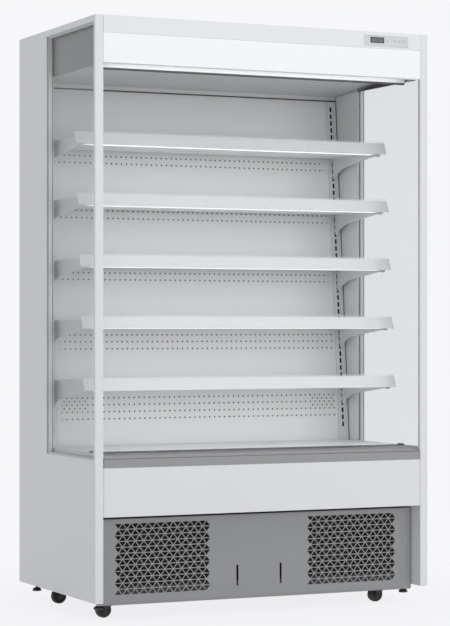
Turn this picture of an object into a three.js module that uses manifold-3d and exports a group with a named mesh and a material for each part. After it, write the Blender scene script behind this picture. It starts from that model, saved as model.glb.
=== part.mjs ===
// Open multideck display fridge: an insulated cabinet with glazed side panels, five
// hook-in shelves, a pull-down night blind and a condensing unit behind a vented kick panel.
// Millimetres, +Z up. The origin is on the floor under the middle of the cabinet,
// and the open front faces -Y.

import * as THREE from 'three';
import { mergeVertices } from 'three/addons/utils/BufferGeometryUtils.js';
import Module from 'manifold-3d';

// ---------------------------------------------------------------- driving dimensions

const cabinet = {
  width: 1200,
  depth: 700,
  height: 1910,
  floorClear: 60, // underside of the side panels and of the base frame
};

const seat = 0.3; // left between pieces that rest on or in each other
const play = 2; // side play of pieces that are lifted out by hand

const sidePanel = {
  thick: 28,
  stile: 15, // front post in front of the window
  windowDepth: 422,
  windowBottom: 510,
  topRail: 22,
  lip: 4, // outer lip that the pane is pushed against
  bite: 5, // how far the pane reaches behind the lip
  paneThick: 20, // double glazed unit
};

const liner = { thick: 1.5, jamb: 40, bead: 19.5 };

const tank = {
  bottom: 331.5,
  wall: 40,
  sideWall: 20,
  floorThick: 40,
  sideTop: 500,
  drainRadius: 14,
};

const rearWall = { thick: 60 };

const canopy = {
  roofThick: 50,
  headerDepth: 31.5,
  headerHeight: 55,
  lightHeight: 94.5,
  sheet: 1.5,
  acrylic: 3,
  endPlate: 3,
  endPlateDrop: 2.5, // below the light panel
};

const controller = {
  width: 166,
  height: 35,
  depth: 12,
  fromRight: 159, // middle of the controller, from the right side of the cabinet
  fromTop: 30.5,
  displayWidth: 51.5,
  displayHeight: 19,
  displayX: -33.2, // from the middle of the controller, like the next three
  displayZ: 3,
  keyXs: [6, 36, 51, 67],
  keyZ: 2.5,
  displayThick: 2,
  pocket: 2.8,
  keyRadius: 4,
  keyRound: 0.6,
  keyLength: 5.5,
  keyTravel: 0.6,
};

const blind = {
  barDepth: 18,
  barHeight: 24,
  barY: 100, // middle of the bar, behind the front plane
  barDrop: 6.5, // underside of the bar, below the light panel
  barCorner: 6,
  groove: 4,
  cloth: 0.8,
  clothInset: 14,
  rollerRadius: 22,
  pinRadius: 5,
  rollerDrop: 48, // axis of the roller, below the roof
  caseSize: 60,
  caseSheet: 1.5,
  capSheet: 2,
  slot: 9,
};

const rack = {
  incline: THREE.MathUtils.degToRad(4.91), // the rack leans back as it rises
  levelZ: 580, // where the next value holds
  faceToRear: 198.2, // slotted face, in front of the back of the cabinet
  bottom: 505,
  topGap: 120, // between the uprights and the roof
  uprightWidth: 40,
  uprightDepth: 22,
  uprightSheet: 2,
  slotInset: 22.9, // middle of the slots, from the outer edge of the upright
  slotWidth: 5,
  slotHeight: 17,
  slotPitch: 25, // what the pitch comes close to: a whole number of slots goes into a shelf space
  slotLowest: 560,
  panelSetBack: 3,
  panelSheet: 1.2,
  panelReturn: 15,
  soffitSheet: 1.5,
  soffitDrop: 15,
  soffitFront: 160,
};

const shelf = {
  count: 5,
  topDrop: 216, // underside of the top shelf, below the top of the rack
  lowRise: 194.5, // underside of the lowest shelf, above the deck
  reach: 355, // from the slotted face to the front foot of the price rail
  sheet: 1.5,
  boxHeight: 22.5,
  lampHeight: 5,
  lampDepth: 20,
  blade: 2.5,
  bladeDrop: 71,
  bladeTip: 11,
  bladeTipRun: 12,
  bladeArc: 90,
  bladeArcShare: 0.62, // how low the arc's control point lies in the drop
  bladeHeel: 10,
  bladeShort: 35, // the blade ends behind the foot of the price rail
  rearGap: 3,
  rearFlange: 6,
  hookNeck: 7,
  hookTongue: 8,
  hookThick: 3,
  hookSlope: 1,
  hookLevel: 2,
  hookSlots: 2, // slots from the upper hook to the lower one
};

const rail = {
  faceHeight: 38,
  faceLean: 17,
  lipHeight: 7,
  sheet: 1.6,
  legDrop: 28,
  foot: 9,
  heel: 2.56,
  sideGap: 1.2,
};

const deck = { top: 529.5, sheet: 1.5, grilleDepth: 132, frontGap: 2, rearGap: 3 };

const grille = {
  sheet: 1.5,
  footY: 8,
  shoulderY: 14,
  shoulderDrop: 5.5,
  flatY: 24,
  toe: 3,
  slotPitch: 20,
  slotWidth: 12,
  slotFront: 42,
  slotLength: 66,
  slotEnd: 60,
};

const bumper = { bottom: 485.3, top: 512, sheet: 2, topDepth: 18, bottomDepth: 30, round: 4 };

const lowerPanel = { bottom: 330, sheet: 1.2, flange: 15, sideGap: 2 };

const kick = {
  setBack: 60,
  bottom: 45,
  top: 319,
  sheet: 1.5,
  flange: 15,
  bend: 10,
  bendBack: 2,
  sideGap: 2,
  slotX: 78.5,
  slotWidth: 7,
  slotBottom: 87,
  slotTop: 155,
  ventInner: 180, // vent field, from the middle of the cabinet
  ventSideGap: 89,
  ventBottom: 76.5,
  ventTop: 304,
  ventRows: 8,
  ventPitch: 22,
  ventWeb: 6,
};

const base = {
  sheet: 3,
  upstand: 40,
  guardSheet: 1.5,
  guardTop: 326,
  guardInset: 8,
  louvreRows: 6,
  louvrePitch: 30,
  louvreHeight: 8,
  louvreBottom: 120,
  louvreInner: 60, // from the middle of the cabinet
  louvreSideGap: 120,
};

const castor = {
  insetX: 105,
  frontY: 125,
  rearInset: 175,
  plateX: 70,
  plateY: 60,
  plateThick: 3,
  kingpin: 6,
  crownRadius: 22,
  crownThick: 5.2,
  neckFront: 15.4, // the legs leave the crown between these, before and behind the swivel axis
  neckRear: 19.8,
  shoulder: 27.5,
  trail: 28,
  wheelRadius: 25,
  wheelWidth: 22,
  hubRadius: 8,
  pinRadius: 3,
  tyreRound: 4,
  dish: 3,
  legThick: 2.5,
  legPlay: 2,
  bossRadius: 8,
};

const foot = {
  insetX: 45,
  frontY: 87,
  rearInset: 52,
  bottom: 31,
  padRadius: 15,
  padHeight: 7,
  taper: 4,
  nutRadius: 9,
  nutHeight: 6,
  stemRadius: 5,
  stemTop: 112,
};

const evaporator = {
  sideGap: 150,
  frontY: 330,
  depth: 130,
  height: 118,
  finPitch: 60,
  finThick: 12,
  groove: 14,
  endSheet: 10,
  fanPlateY: 236,
  fanPlate: 2,
  fanRadius: 50,
  fanPlay: 4,
  motorRadius: 18,
  motorLength: 34,
  armWidth: 10,
  armPast: 8, // arm beyond the fan's hole
};

const condensing = {
  fromSide: 250, // middle of the unit, from the right side of the cabinet
  halfWidth: 158,
  frontY: 78,
  depth: 50,
  height: 232,
  finPitch: 36,
  finThick: 10,
  groove: 9,
  shroudDepth: 26,
  shroudSheet: 2,
  fanRadius: 98,
  fanPlay: 5,
  motorRadius: 34,
  motorLength: 46,
  armWidth: 14,
  armPast: 10,
  tubeRadius: 5,
  bendShares: [0.2, 0.5, 0.8], // heights of the pipe bends
  bendInset: 8,
  bendReach: 24,
  bendRise: 20,
  bendFront: 36,
  bendRear: 14,
};

const fan = {
  blades: 5,
  bladeThick: 2.2,
  pitch: 0.55, // angle of the blades
  bladeShare: 0.55, // width of a blade, of the fan's radius
  root: 2, // how far a blade reaches into the hub
  hubShare: 0.32, // radius of the hub, of the fan's radius
  hubLength: 0.9, // length of the hub, of its radius
  boreShare: 0.35, // closed end of the hub, of its length
  shaftRadius: 4,
  armAlong: 0.6, // place of the arm along the motor
  armSheet: 3,
};

const compressor = {
  fromSide: 270, // from the left side of the cabinet
  y: 260,
  radius: 78,
  height: 178,
  shoulder: 26,
  baseShare: 0.7, // radii of the turned shell, of its largest one
  domeShare: 0.86,
  crownShare: 0.5,
  seamShare: 0.55, // height of the weld seam
  seam: 4,
  plateX: 200,
  plateY: 150,
  plateThick: 4,
  footHeight: 12,
  footRadius: 10,
  footInset: 16,
  boxOut: 26,
  boxIn: 8,
  boxWidth: 48,
  boxHeight: 46,
  boxShare: 0.3,
  pipeRadius: 5,
  pipeRoot: 6,
  pipeOut: 26,
  suctionRise: 30,
  suctionTop: 66,
  dischargeRise: -34,
  dischargeTop: 10,
};

const dripTray = { fromSide: 270, fromRear: 190, width: 300, depth: 200, height: 55, wall: 2 };

// ---------------------------------------------------------------- values worked out

const front = -cabinet.depth / 2;
const rear = cabinet.depth / 2;
const innerHalf = cabinet.width / 2 - sidePanel.thick;
const fitHalf = innerHalf - seat; // what is fastened between the side panels
const linerFace = fitHalf - liner.thick;
const canopyHalf = fitHalf - canopy.endPlate - seat;
const windowRear = front + sidePanel.stile + sidePanel.windowDepth;
const windowTop = cabinet.height - sidePanel.topRail;
const rearFace = rear - rearWall.thick;
const roofBottom = cabinet.height - canopy.roofThick;
const headerBottom = cabinet.height - canopy.headerHeight;
const headerRear = front + canopy.headerDepth;
const lightBottom = headerBottom - canopy.lightHeight;
const endPlateBottom = lightBottom - canopy.endPlateDrop;
const controllerX = cabinet.width / 2 - controller.fromRight;
const controllerZ = cabinet.height - controller.fromTop;
const keyZ = controllerZ + controller.keyZ;
const barBottom = lightBottom - blind.barDrop;
const rollerZ = roofBottom - blind.rollerDrop;
const tankFloor = tank.bottom + tank.floorThick;
const frameTop = cabinet.floorClear + base.sheet;
const evaporatorHalf = cabinet.width / 2 - evaporator.sideGap;
const dripTrayX = -cabinet.width / 2 + dripTray.fromSide;
const dripTrayY = rear - dripTray.fromRear;
const axleZ = castor.wheelRadius;
const kickRear = front + kick.setBack + kick.sheet;

const lean = Math.tan(rack.incline);
const rackFace = (z) => rear - rack.faceToRear + (z - rack.levelZ) * lean;
const rackTop = roofBottom - rack.topGap;
const uprightOuter = linerFace - seat;
const uprightInner = uprightOuter - rack.uprightWidth;
const slotX = uprightOuter - rack.slotInset;
const shelfTop = rackTop - shelf.topDrop;
const shelfSpacing = (shelfTop - deck.top - shelf.lowRise) / (shelf.count - 1);
const shelfLevels = Array.from({ length: shelf.count }, (_, i) => shelfTop - i * shelfSpacing);
const slotPitch = shelfSpacing / Math.round(shelfSpacing / rack.slotPitch);
const slotBase = shelfTop + shelf.hookLevel - seat; // lower edge of the top shelf's slot

// ---------------------------------------------------------------- finishes

const finish = (color, roughness, metalness = 0, more = {}) =>
  new THREE.MeshStandardMaterial({ color, roughness, metalness, ...more });

const whitePaint = finish(0xe6e8e9, 0.45);
const greyPaint = finish(0x9b9d9f, 0.5);
const innerPaint = finish(0xc9cbcc, 0.5);
const steel = finish(0xa3a5a7, 0.35, 0.9);
const zinc = finish(0xb4b6b8, 0.45, 0.8);
const glass = finish(0xdfe8ea, 0.05, 0, { transparent: true, opacity: 0.25 });
const litPanel = finish(0xf6f8f9, 0.4, 0, { emissive: 0xffffff, emissiveIntensity: 0.4 });
const whitePlastic = finish(0xe9ebec, 0.4);
const clearPlastic = finish(0xdcdfe1, 0.3);
const blackPlastic = finish(0x1b1c1d, 0.5);
const blackRubber = finish(0x1a1a1a, 0.8);
const displayGlass = finish(0x66696b, 0.15);
const cloth = finish(0xc8cacb, 0.9);
const blackPaint = finish(0x202224, 0.4);
const aluminium = finish(0xb9bbbc, 0.4, 0.9);

// ---------------------------------------------------------------- shaping helpers

const wasm = await Module();
wasm.setup();

function toSolid(geometry) {
  const bare = new THREE.BufferGeometry();
  bare.setAttribute('position', geometry.getAttribute('position').clone());
  bare.setIndex(geometry.index);
  const merged = mergeVertices(bare, 1e-3);
  return new wasm.Manifold(new wasm.Mesh({
    numProp: 3,
    vertProperties: new Float32Array(merged.getAttribute('position').array),
    triVerts: new Uint32Array(merged.index.array),
  }));
}

function fromSolid(solid) {
  const mesh = solid.getMesh();
  const geometry = new THREE.BufferGeometry();
  geometry.setAttribute('position', new THREE.BufferAttribute(mesh.vertProperties, 3));
  geometry.setIndex(new THREE.BufferAttribute(mesh.triVerts, 1));
  geometry.computeVertexNormals();
  return geometry;
}

function join(...geometries) {
  return fromSolid(geometries.map(toSolid).reduce((sum, next) => sum.add(next)));
}

function cut(geometry, ...tools) {
  return fromSolid(tools.map(toSolid).reduce((left, tool) => left.subtract(tool), toSolid(geometry)));
}

function block(xs, ys, zs) {
  const size = [xs, ys, zs].map(([from, to]) => Math.abs(to - from));
  const middle = [xs, ys, zs].map(([from, to]) => (from + to) / 2);
  return new THREE.BoxGeometry(...size).translate(...middle);
}

const outline = (points) => new THREE.Shape(points.map(([a, b]) => new THREE.Vector2(a, b)));

// The outline of a folded sheet: the path is one face, and the thickness goes to its left.
function folded(path, thickness) {
  const normals = path.slice(1).map(([a, b], i) => {
    const run = [a - path[i][0], b - path[i][1]];
    const length = Math.hypot(...run);
    return [-run[1] / length, run[0] / length];
  });
  const otherFace = path.map(([a, b], i) => {
    const before = normals[Math.max(i - 1, 0)];
    const after = normals[Math.min(i, normals.length - 1)];
    const stretch = thickness / (1 + before[0] * after[0] + before[1] * after[1]);
    return [a + (before[0] + after[0]) * stretch, b + (before[1] + after[1]) * stretch];
  });
  return outline([...path, ...otherFace.reverse()]);
}

const axes = {
  x: new THREE.Matrix4().makeBasis(
    new THREE.Vector3(0, 1, 0), new THREE.Vector3(0, 0, 1), new THREE.Vector3(1, 0, 0)),
  y: new THREE.Matrix4().makeBasis(
    new THREE.Vector3(1, 0, 0), new THREE.Vector3(0, 0, 1), new THREE.Vector3(0, -1, 0)),
  z: new THREE.Matrix4(),
};

// Extrusions of an outline: (y, z) points along X, (x, z) points along Y, (x, y) along Z.
function extrude(shape, axis, from, to, curveSegments = 6) {
  const geometry = new THREE.ExtrudeGeometry(shape, {
    depth: to - from, bevelEnabled: false, curveSegments,
  });
  geometry.applyMatrix4(axes[axis]);
  const start = axis === 'y' ? to : from;
  return geometry.translate(axis === 'x' ? start : 0, axis === 'y' ? start : 0, axis === 'z' ? start : 0);
}

const extrudeX = (shape, half, curveSegments) => extrude(shape, 'x', -half, half, curveSegments);

// A turned piece: (radius, height) points revolved about Z, then laid along another axis.
function turned(points, segments, axis = 'z') {
  const lathe = new THREE.LatheGeometry(points.map(([r, h]) => new THREE.Vector2(r, h)), segments);
  lathe.rotateX(Math.PI / 2);
  if (axis === 'y') lathe.rotateX(-Math.PI / 2);
  if (axis === 'x') lathe.rotateY(Math.PI / 2);
  return lathe;
}

const drum = (radius, from, to, segments, axis) =>
  turned([[0, from], [radius, from], [radius, to], [0, to]], segments, axis);

function tube(points, radius, steps, sides = 8) {
  const section = new THREE.Shape().absarc(0, 0, radius, 0, Math.PI * 2);
  const path = new THREE.CatmullRomCurve3(points.map((p) => new THREE.Vector3(...p)), false, 'centripetal');
  return new THREE.ExtrudeGeometry(section, {
    steps, curveSegments: sides, extrudePath: path, bevelEnabled: false,
  });
}

const fridge = new THREE.Group();

function add(name, geometry, material, parent = fridge) {
  const mesh = new THREE.Mesh(geometry, material);
  mesh.name = name;
  parent.add(mesh);
  return mesh;
}

// ---------------------------------------------------------------- cabinet sides

function sidePanelShape(side) {
  const outer = side * cabinet.width / 2;
  const inner = side * innerHalf;
  const past = inner - side;
  const body = block([outer, inner], [front, rear], [cabinet.floorClear, cabinet.height]);
  const window = block(
    [outer + side, past],
    [front + sidePanel.stile, windowRear],
    [sidePanel.windowBottom, windowTop]);
  const rebate = block(
    [outer - side * sidePanel.lip, past],
    [front + sidePanel.stile - sidePanel.bite, windowRear + sidePanel.bite],
    [sidePanel.windowBottom - sidePanel.bite, windowTop + sidePanel.bite]);
  return cut(body, window, rebate);
}

function sideGlassShape(side) {
  const outer = side * (cabinet.width / 2 - sidePanel.lip - seat);
  const edge = sidePanel.bite - seat;
  return block(
    [outer, outer - side * sidePanel.paneThick],
    [front + sidePanel.stile - edge, windowRear + edge],
    [sidePanel.windowBottom - edge, windowTop + edge]);
}

// Inner lining: the wall behind the window, its jamb strip and the bead below the pane.
function sideLinerShape(side) {
  const low = tank.sideTop + seat;
  const beadTop = sidePanel.windowBottom + liner.bead;
  const jambFront = windowRear - liner.jamb;
  const top = endPlateBottom - seat;
  const face = outline([
    [front + sidePanel.stile, low],
    [rearFace - seat, low],
    [rearFace - seat, top],
    [jambFront, top],
    [jambFront, beadTop],
    [front + sidePanel.stile, beadTop],
  ]);
  return side < 0
    ? extrude(face, 'x', -fitHalf, -linerFace)
    : extrude(face, 'x', linerFace, fitHalf);
}

for (const [label, side] of [['left', -1], ['right', 1]]) {
  add(`side_panel_${label}`, sidePanelShape(side), whitePaint);
  add(`side_glass_${label}`, sideGlassShape(side), glass);
  add(`side_liner_${label}`, sideLinerShape(side), innerPaint);
}

// ---------------------------------------------------------------- insulated shell

add('rear_wall', block(
  [-fitHalf, fitHalf], [rearFace, rear], [tank.bottom, roofBottom - seat]), whitePaint);

function baseTankShape() {
  const tankFront = front + lowerPanel.sheet + seat;
  const tankRear = rearFace - seat;
  const frontTop = bumper.bottom - seat - lowerPanel.sheet - seat;
  const body = block([-fitHalf, fitHalf], [tankFront, tankRear], [tank.bottom, tank.sideTop]);
  const well = block(
    [-fitHalf + tank.sideWall, fitHalf - tank.sideWall],
    [tankFront + tank.wall, tankRear - tank.sideWall],
    [tankFloor, tank.sideTop + 1]);
  const frontStep = block(
    [-fitHalf - 1, fitHalf + 1],
    [tankFront - 1, tankFront + tank.wall + 1],
    [frontTop, tank.sideTop + 1]);
  const drain = drum(tank.drainRadius, tank.bottom - 1, tankFloor + 1, 16)
    .translate(dripTrayX, dripTrayY, 0);
  return cut(body, well, frontStep, drain);
}
add('base_tank', baseTankShape(), whitePaint);

add('lower_front_panel', extrudeX(folded([
  [front + lowerPanel.flange, lowerPanel.bottom],
  [front, lowerPanel.bottom],
  [front, bumper.bottom - seat],
  [front + lowerPanel.flange, bumper.bottom - seat],
].reverse(), lowerPanel.sheet), innerHalf - lowerPanel.sideGap), whitePaint);

function bumperShape() {
  const { bottom, top, round, topDepth, bottomDepth, sheet } = bumper;
  const shape = new THREE.Shape();
  shape.moveTo(front, bottom);
  shape.lineTo(front + bottomDepth, bottom);
  shape.lineTo(front + bottomDepth, bottom + sheet);
  shape.lineTo(front + sheet, bottom + sheet);
  shape.lineTo(front + sheet, top - round);
  shape.absarc(front + round, top - round, round - sheet, Math.PI, Math.PI / 2, true);
  shape.lineTo(front + topDepth, top - sheet);
  shape.lineTo(front + topDepth, top);
  shape.lineTo(front + round, top);
  shape.absarc(front + round, top - round, round, Math.PI / 2, Math.PI, false);
  return extrudeX(shape, linerFace - seat, 4);
}
add('bumper_rail', bumperShape(), steel);

// ---------------------------------------------------------------- canopy

function roofPanelShape() {
  const roof = block([-fitHalf, fitHalf], [headerRear + seat, rear], [roofBottom, cabinet.height]);
  const plates = [-1, 1].map((side) => block(
    [side * fitHalf, side * (fitHalf - canopy.endPlate)],
    [headerRear + seat, windowRear],
    [endPlateBottom, roofBottom + 1]));
  return join(roof, ...plates);
}
add('roof_panel', roofPanelShape(), greyPaint);

function headerFasciaShape() {
  const strip = extrudeX(folded([
    [headerRear, headerBottom],
    [front, headerBottom],
    [front, cabinet.height],
    [headerRear, cabinet.height],
  ].reverse(), canopy.sheet), fitHalf);
  const opening = block(
    [controllerX - controller.width / 2 - seat, controllerX + controller.width / 2 + seat],
    [front - 1, front + canopy.sheet + 1],
    [controllerZ - controller.height / 2 - seat, controllerZ + controller.height / 2 + seat]);
  return cut(strip, opening);
}
add('header_fascia', headerFasciaShape(), whitePaint);

add('light_panel', extrudeX(folded([
  [headerRear, lightBottom],
  [front, lightBottom],
  [front, headerBottom - seat],
  [headerRear, headerBottom - seat],
].reverse(), canopy.acrylic), fitHalf), litPanel);

// The display, or with a margin the pocket that takes it.
function displayBlock(from, to, margin) {
  const x = controllerX + controller.displayX;
  const z = controllerZ + controller.displayZ;
  const halfWidth = controller.displayWidth / 2 + margin;
  const halfHeight = controller.displayHeight / 2 + margin;
  return block([x - halfWidth, x + halfWidth], [from, to], [z - halfHeight, z + halfHeight]);
}

function controllerPanelShape() {
  const body = block(
    [controllerX - controller.width / 2, controllerX + controller.width / 2],
    [front, front + controller.depth],
    [controllerZ - controller.height / 2, controllerZ + controller.height / 2]);
  const pocket = displayBlock(front - 1, front + controller.pocket, seat);
  const keyWells = controller.keyXs.map((x) => drum(
    controller.keyRadius + seat, front - 1,
    front + controller.keyLength + controller.keyTravel + 2 * seat, 12, 'y')
    .translate(controllerX + x, 0, keyZ));
  return cut(body, pocket, ...keyWells);
}
add('controller_panel', controllerPanelShape(), whitePlastic);

const displayRear = front + controller.pocket - seat;
add('controller_display', displayBlock(displayRear - controller.displayThick, displayRear, 0), displayGlass);

controller.keyXs.forEach((x, i) => {
  const { keyRadius: r, keyRound: round, keyLength } = controller;
  const cap = turned([[0, 0], [r - round, 0], [r, round], [r, keyLength], [0, keyLength]], 12, 'y');
  add(`key_${i + 1}`, cap, whitePlastic).position.set(controllerX + x, front, keyZ);
});

// ---------------------------------------------------------------- night blind

const rollerY = front + blind.barY + blind.cloth / 2 + seat + blind.rollerRadius;
const barTop = barBottom + blind.barHeight;

function blindCassetteShape() {
  const { caseSize: size, caseSheet: sheet, slot } = blind;
  const slotMiddle = front + blind.barY;
  const [y0, y1] = [rollerY - size / 2, rollerY + size / 2];
  const [z0, z1] = [rollerZ - size / 2, rollerZ + size / 2];
  const shell = extrudeX(folded([
    [slotMiddle + slot / 2, z0], [y1, z0], [y1, z1], [y0, z1], [y0, z0], [slotMiddle - slot / 2, z0],
  ], sheet), canopyHalf);
  const caps = [-1, 1].map((side) => cut(
    block([side * canopyHalf, side * (canopyHalf - blind.capSheet)],
      [y0 + sheet / 2, y1 - sheet / 2], [z0 + sheet / 2, z1 - sheet / 2]),
    drum(blind.pinRadius + seat, -canopyHalf - 1, canopyHalf + 1, 12, 'x')
      .translate(0, rollerY, rollerZ)));
  return join(shell, ...caps);
}
add('blind_cassette', blindCassetteShape(), greyPaint);

const rollerHalf = canopyHalf - blind.capSheet - play;
add('blind_roller', turned([
  [0, -canopyHalf], [blind.pinRadius, -canopyHalf], [blind.pinRadius, -rollerHalf],
  [blind.rollerRadius, -rollerHalf], [blind.rollerRadius, rollerHalf],
  [blind.pinRadius, rollerHalf], [blind.pinRadius, canopyHalf], [0, canopyHalf],
], 16, 'x'), cloth).position.set(0, rollerY, rollerZ);

function blindBarShape() {
  const { barCorner: r, barHeight: h, groove } = blind;
  const half = blind.barDepth / 2;
  const slit = blind.cloth / 2 + seat;
  const shape = new THREE.Shape();
  shape.moveTo(-half + r, 0);
  shape.lineTo(half - r, 0);
  shape.absarc(half - r, r, r, -Math.PI / 2, 0, false);
  shape.absarc(half - r, h - r, r, 0, Math.PI / 2, false);
  shape.lineTo(slit, h);
  shape.lineTo(slit, h - groove);
  shape.lineTo(-slit, h - groove);
  shape.lineTo(-slit, h);
  shape.absarc(-half + r, h - r, r, Math.PI / 2, Math.PI, false);
  shape.absarc(-half + r, r, r, Math.PI, Math.PI * 1.5, false);
  return extrudeX(shape, canopyHalf - play, 3);
}
add('blind_bar', blindBarShape(), whitePlastic).position.set(0, front + blind.barY, barBottom);

add('blind_sheet', block(
  [-rollerHalf + blind.clothInset, rollerHalf - blind.clothInset],
  [front + blind.barY - blind.cloth / 2, front + blind.barY + blind.cloth / 2],
  [barTop - blind.groove + seat, rollerZ]), cloth);

// ---------------------------------------------------------------- leaning rack

// Local frame of the rack: origin on the slotted face at rack.levelZ, +Z up along the face.
const rackGroup = new THREE.Group();
rackGroup.position.set(0, rackFace(rack.levelZ), rack.levelZ);
rackGroup.rotation.x = -rack.incline;
fridge.add(rackGroup);
const alongRack = (z) => (z - rack.levelZ) / Math.cos(rack.incline);

function uprightShape(side) {
  const section = folded([
    [uprightOuter, rack.uprightDepth], [uprightOuter, 0], [uprightInner, 0], [uprightInner, rack.uprightDepth],
  ].map(([x, y]) => [side * x, y]), side * -rack.uprightSheet);
  const channel = extrude(section, 'z', alongRack(rack.bottom), alongRack(rackTop));
  const slots = [];
  const lowest = slotBase - Math.floor((slotBase - rack.slotLowest) / slotPitch) * slotPitch;
  for (let z = lowest; z + rack.slotHeight < rackTop; z += slotPitch) {
    slots.push(block(
      [side * (slotX - rack.slotWidth / 2), side * (slotX + rack.slotWidth / 2)],
      [-1, rack.uprightSheet + 1],
      [alongRack(z), alongRack(z) + rack.slotHeight]));
  }
  return cut(channel, ...slots);
}
add('upright_left', uprightShape(-1), zinc, rackGroup);
add('upright_right', uprightShape(1), zinc, rackGroup);

const panelHalf = uprightInner - seat;
add('back_panel', extrude(folded([
  [panelHalf, rack.panelSetBack + rack.panelReturn],
  [panelHalf, rack.panelSetBack],
  [-panelHalf, rack.panelSetBack],
  [-panelHalf, rack.panelSetBack + rack.panelReturn],
], -rack.panelSheet), 'z', alongRack(rack.bottom), alongRack(rackTop)), innerPaint, rackGroup);

// The soffit stands square to the rack: a short drop to the back panel, then forwards and up.
const soffitRun = (rackFace(rackTop) - front - rack.soffitFront) / Math.cos(rack.incline);
const soffitLevel = alongRack(rackTop) + seat + rack.soffitDrop;
add('soffit_panel', extrudeX(folded([
  [rack.panelSetBack, soffitLevel - rack.soffitDrop],
  [rack.panelSetBack, soffitLevel],
  [rack.panelSetBack - soffitRun, soffitLevel],
], -rack.soffitSheet), canopyHalf), greyPaint, rackGroup);

// ---------------------------------------------------------------- shelves

const shelfFront = -shelf.reach; // y in the shelf's frame: 0 on the slotted face, z 0 under the lamp
const railBackY = shelfFront + rail.faceLean + rail.sheet * 3;

function priceRailShape() {
  const leanPerMm = rail.faceLean / rail.faceHeight;
  const topY = shelfFront + rail.faceLean;
  const lipZ = rail.faceHeight + rail.lipHeight;
  const t = rail.sheet;
  return extrudeX(outline([
    [shelfFront, 0],
    [shelfFront + rail.foot, 0],
    [shelfFront + rail.foot, t],
    [shelfFront + rail.heel, t],
    [topY + t - t * leanPerMm, rail.faceHeight - t],
    [railBackY - t, rail.faceHeight - t],
    [railBackY - t, rail.faceHeight - rail.legDrop],
    [railBackY, rail.faceHeight - rail.legDrop],
    [railBackY, rail.faceHeight],
    [topY + t, rail.faceHeight],
    [shelfFront + lipZ * leanPerMm + t, lipZ],
    [shelfFront + lipZ * leanPerMm, lipZ],
  ]), linerFace - rail.sideGap);
}

function shelfBox() {
  const low = shelf.lampHeight;
  const high = low + shelf.boxHeight;
  const boxFront = railBackY + seat;
  const boxRear = -shelf.rearGap;
  const t = shelf.sheet;
  return extrudeX(outline([
    [boxFront, low],
    [boxRear - shelf.rearFlange, low],
    [boxRear - shelf.rearFlange, low + t],
    [boxFront + t, low + t],
    [boxFront + t, high - t],
    [boxRear - t, high - t],
    [boxRear - t, high - shelf.boxHeight / 2],
    [boxRear, high - shelf.boxHeight / 2],
    [boxRear, high],
    [boxFront, high],
  ]), slotX);
}

function lampHousing() {
  const lampFront = railBackY + seat + shelf.sheet;
  return block(
    [-slotX, slotX],
    [lampFront, lampFront + shelf.lampDepth],
    [0, shelf.lampHeight + shelf.sheet / 2]);
}

// Welded bracket blade with its two hooks, in (y, z).
function shelfBlade(side) {
  const low = shelf.lampHeight;
  const high = low + shelf.boxHeight;
  const rearAt = (z) => z * lean - seat / Math.cos(rack.incline);
  const lowest = low - shelf.bladeDrop;
  const rearLow = rearAt(lowest);
  const shape = new THREE.Shape();
  shape.moveTo(railBackY + seat, high);
  shape.lineTo(railBackY + seat, low);
  shape.lineTo(shelfFront + shelf.bladeShort, low);
  shape.lineTo(shelfFront + shelf.bladeShort + shelf.bladeTipRun, low - shelf.bladeTip);
  shape.lineTo(-shelf.bladeArc, low - shelf.bladeDrop / 2);
  shape.quadraticCurveTo(
    -shelf.bladeArc / 2, low - shelf.bladeDrop * shelf.bladeArcShare, rearLow - shelf.bladeHeel, lowest);
  shape.lineTo(rearLow, lowest);
  const hookZs = [shelf.hookLevel - shelf.hookSlots * slotPitch, shelf.hookLevel];
  for (const z of hookZs) {
    const back = z * lean + rack.uprightSheet + 2 * seat;
    shape.lineTo(rearAt(z), z);
    shape.lineTo(back, z);
    shape.lineTo(back, z - shelf.hookTongue);
    shape.lineTo(back + shelf.hookThick, z - shelf.hookTongue + shelf.hookSlope);
    shape.lineTo(back + shelf.hookThick, z + shelf.hookNeck);
    shape.lineTo(rearAt(z + shelf.hookNeck), z + shelf.hookNeck);
  }
  shape.lineTo(rearAt(high), high);
  const middle = side * slotX;
  return extrude(shape, 'x', middle - shelf.blade / 2, middle + shelf.blade / 2, 8);
}

const shelfGeometry = join(shelfBox(), lampHousing(), shelfBlade(-1), shelfBlade(1));
const railGeometry = priceRailShape();
shelfLevels.forEach((z, i) => {
  const place = new THREE.Group();
  place.position.set(0, rackFace(z), z);
  fridge.add(place);
  add(`shelf_${i + 1}`, shelfGeometry, innerPaint, place);
  add(`price_rail_${i + 1}`, railGeometry, clearPlastic, place);
});

// ---------------------------------------------------------------- deck and return grille

const deckHalf = linerFace - play;
const deckFront = front + deck.grilleDepth + deck.frontGap;
const deckRear = rackFace(tank.sideTop) - deck.rearGap;
const flangeBottom = tank.sideTop + seat;

add('deck_tray', extrudeX(folded([
  [deckRear, flangeBottom], [deckRear, deck.top], [deckFront, deck.top], [deckFront, flangeBottom],
], deck.sheet), deckHalf), zinc);

function returnGrilleShape() {
  const sheet = extrudeX(folded([
    [front + deck.grilleDepth, flangeBottom],
    [front + deck.grilleDepth, deck.top],
    [front + grille.flatY, deck.top],
    [front + grille.shoulderY, deck.top - grille.shoulderDrop],
    [front + grille.footY, bumper.top + seat + grille.toe],
    [front + grille.footY, bumper.top + seat],
  ], grille.sheet), deckHalf);
  const count = Math.floor(2 * (deckHalf - grille.slotEnd) / grille.slotPitch);
  const slots = Array.from({ length: count }, (_, i) => {
    const x = (i - (count - 1) / 2) * grille.slotPitch;
    return block(
      [x - grille.slotWidth / 2, x + grille.slotWidth / 2],
      [front + grille.slotFront, front + grille.slotFront + grille.slotLength],
      [deck.top - grille.sheet - 1, deck.top + 1]);
  });
  return cut(sheet, ...slots);
}
add('return_grille', returnGrilleShape(), steel);

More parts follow.
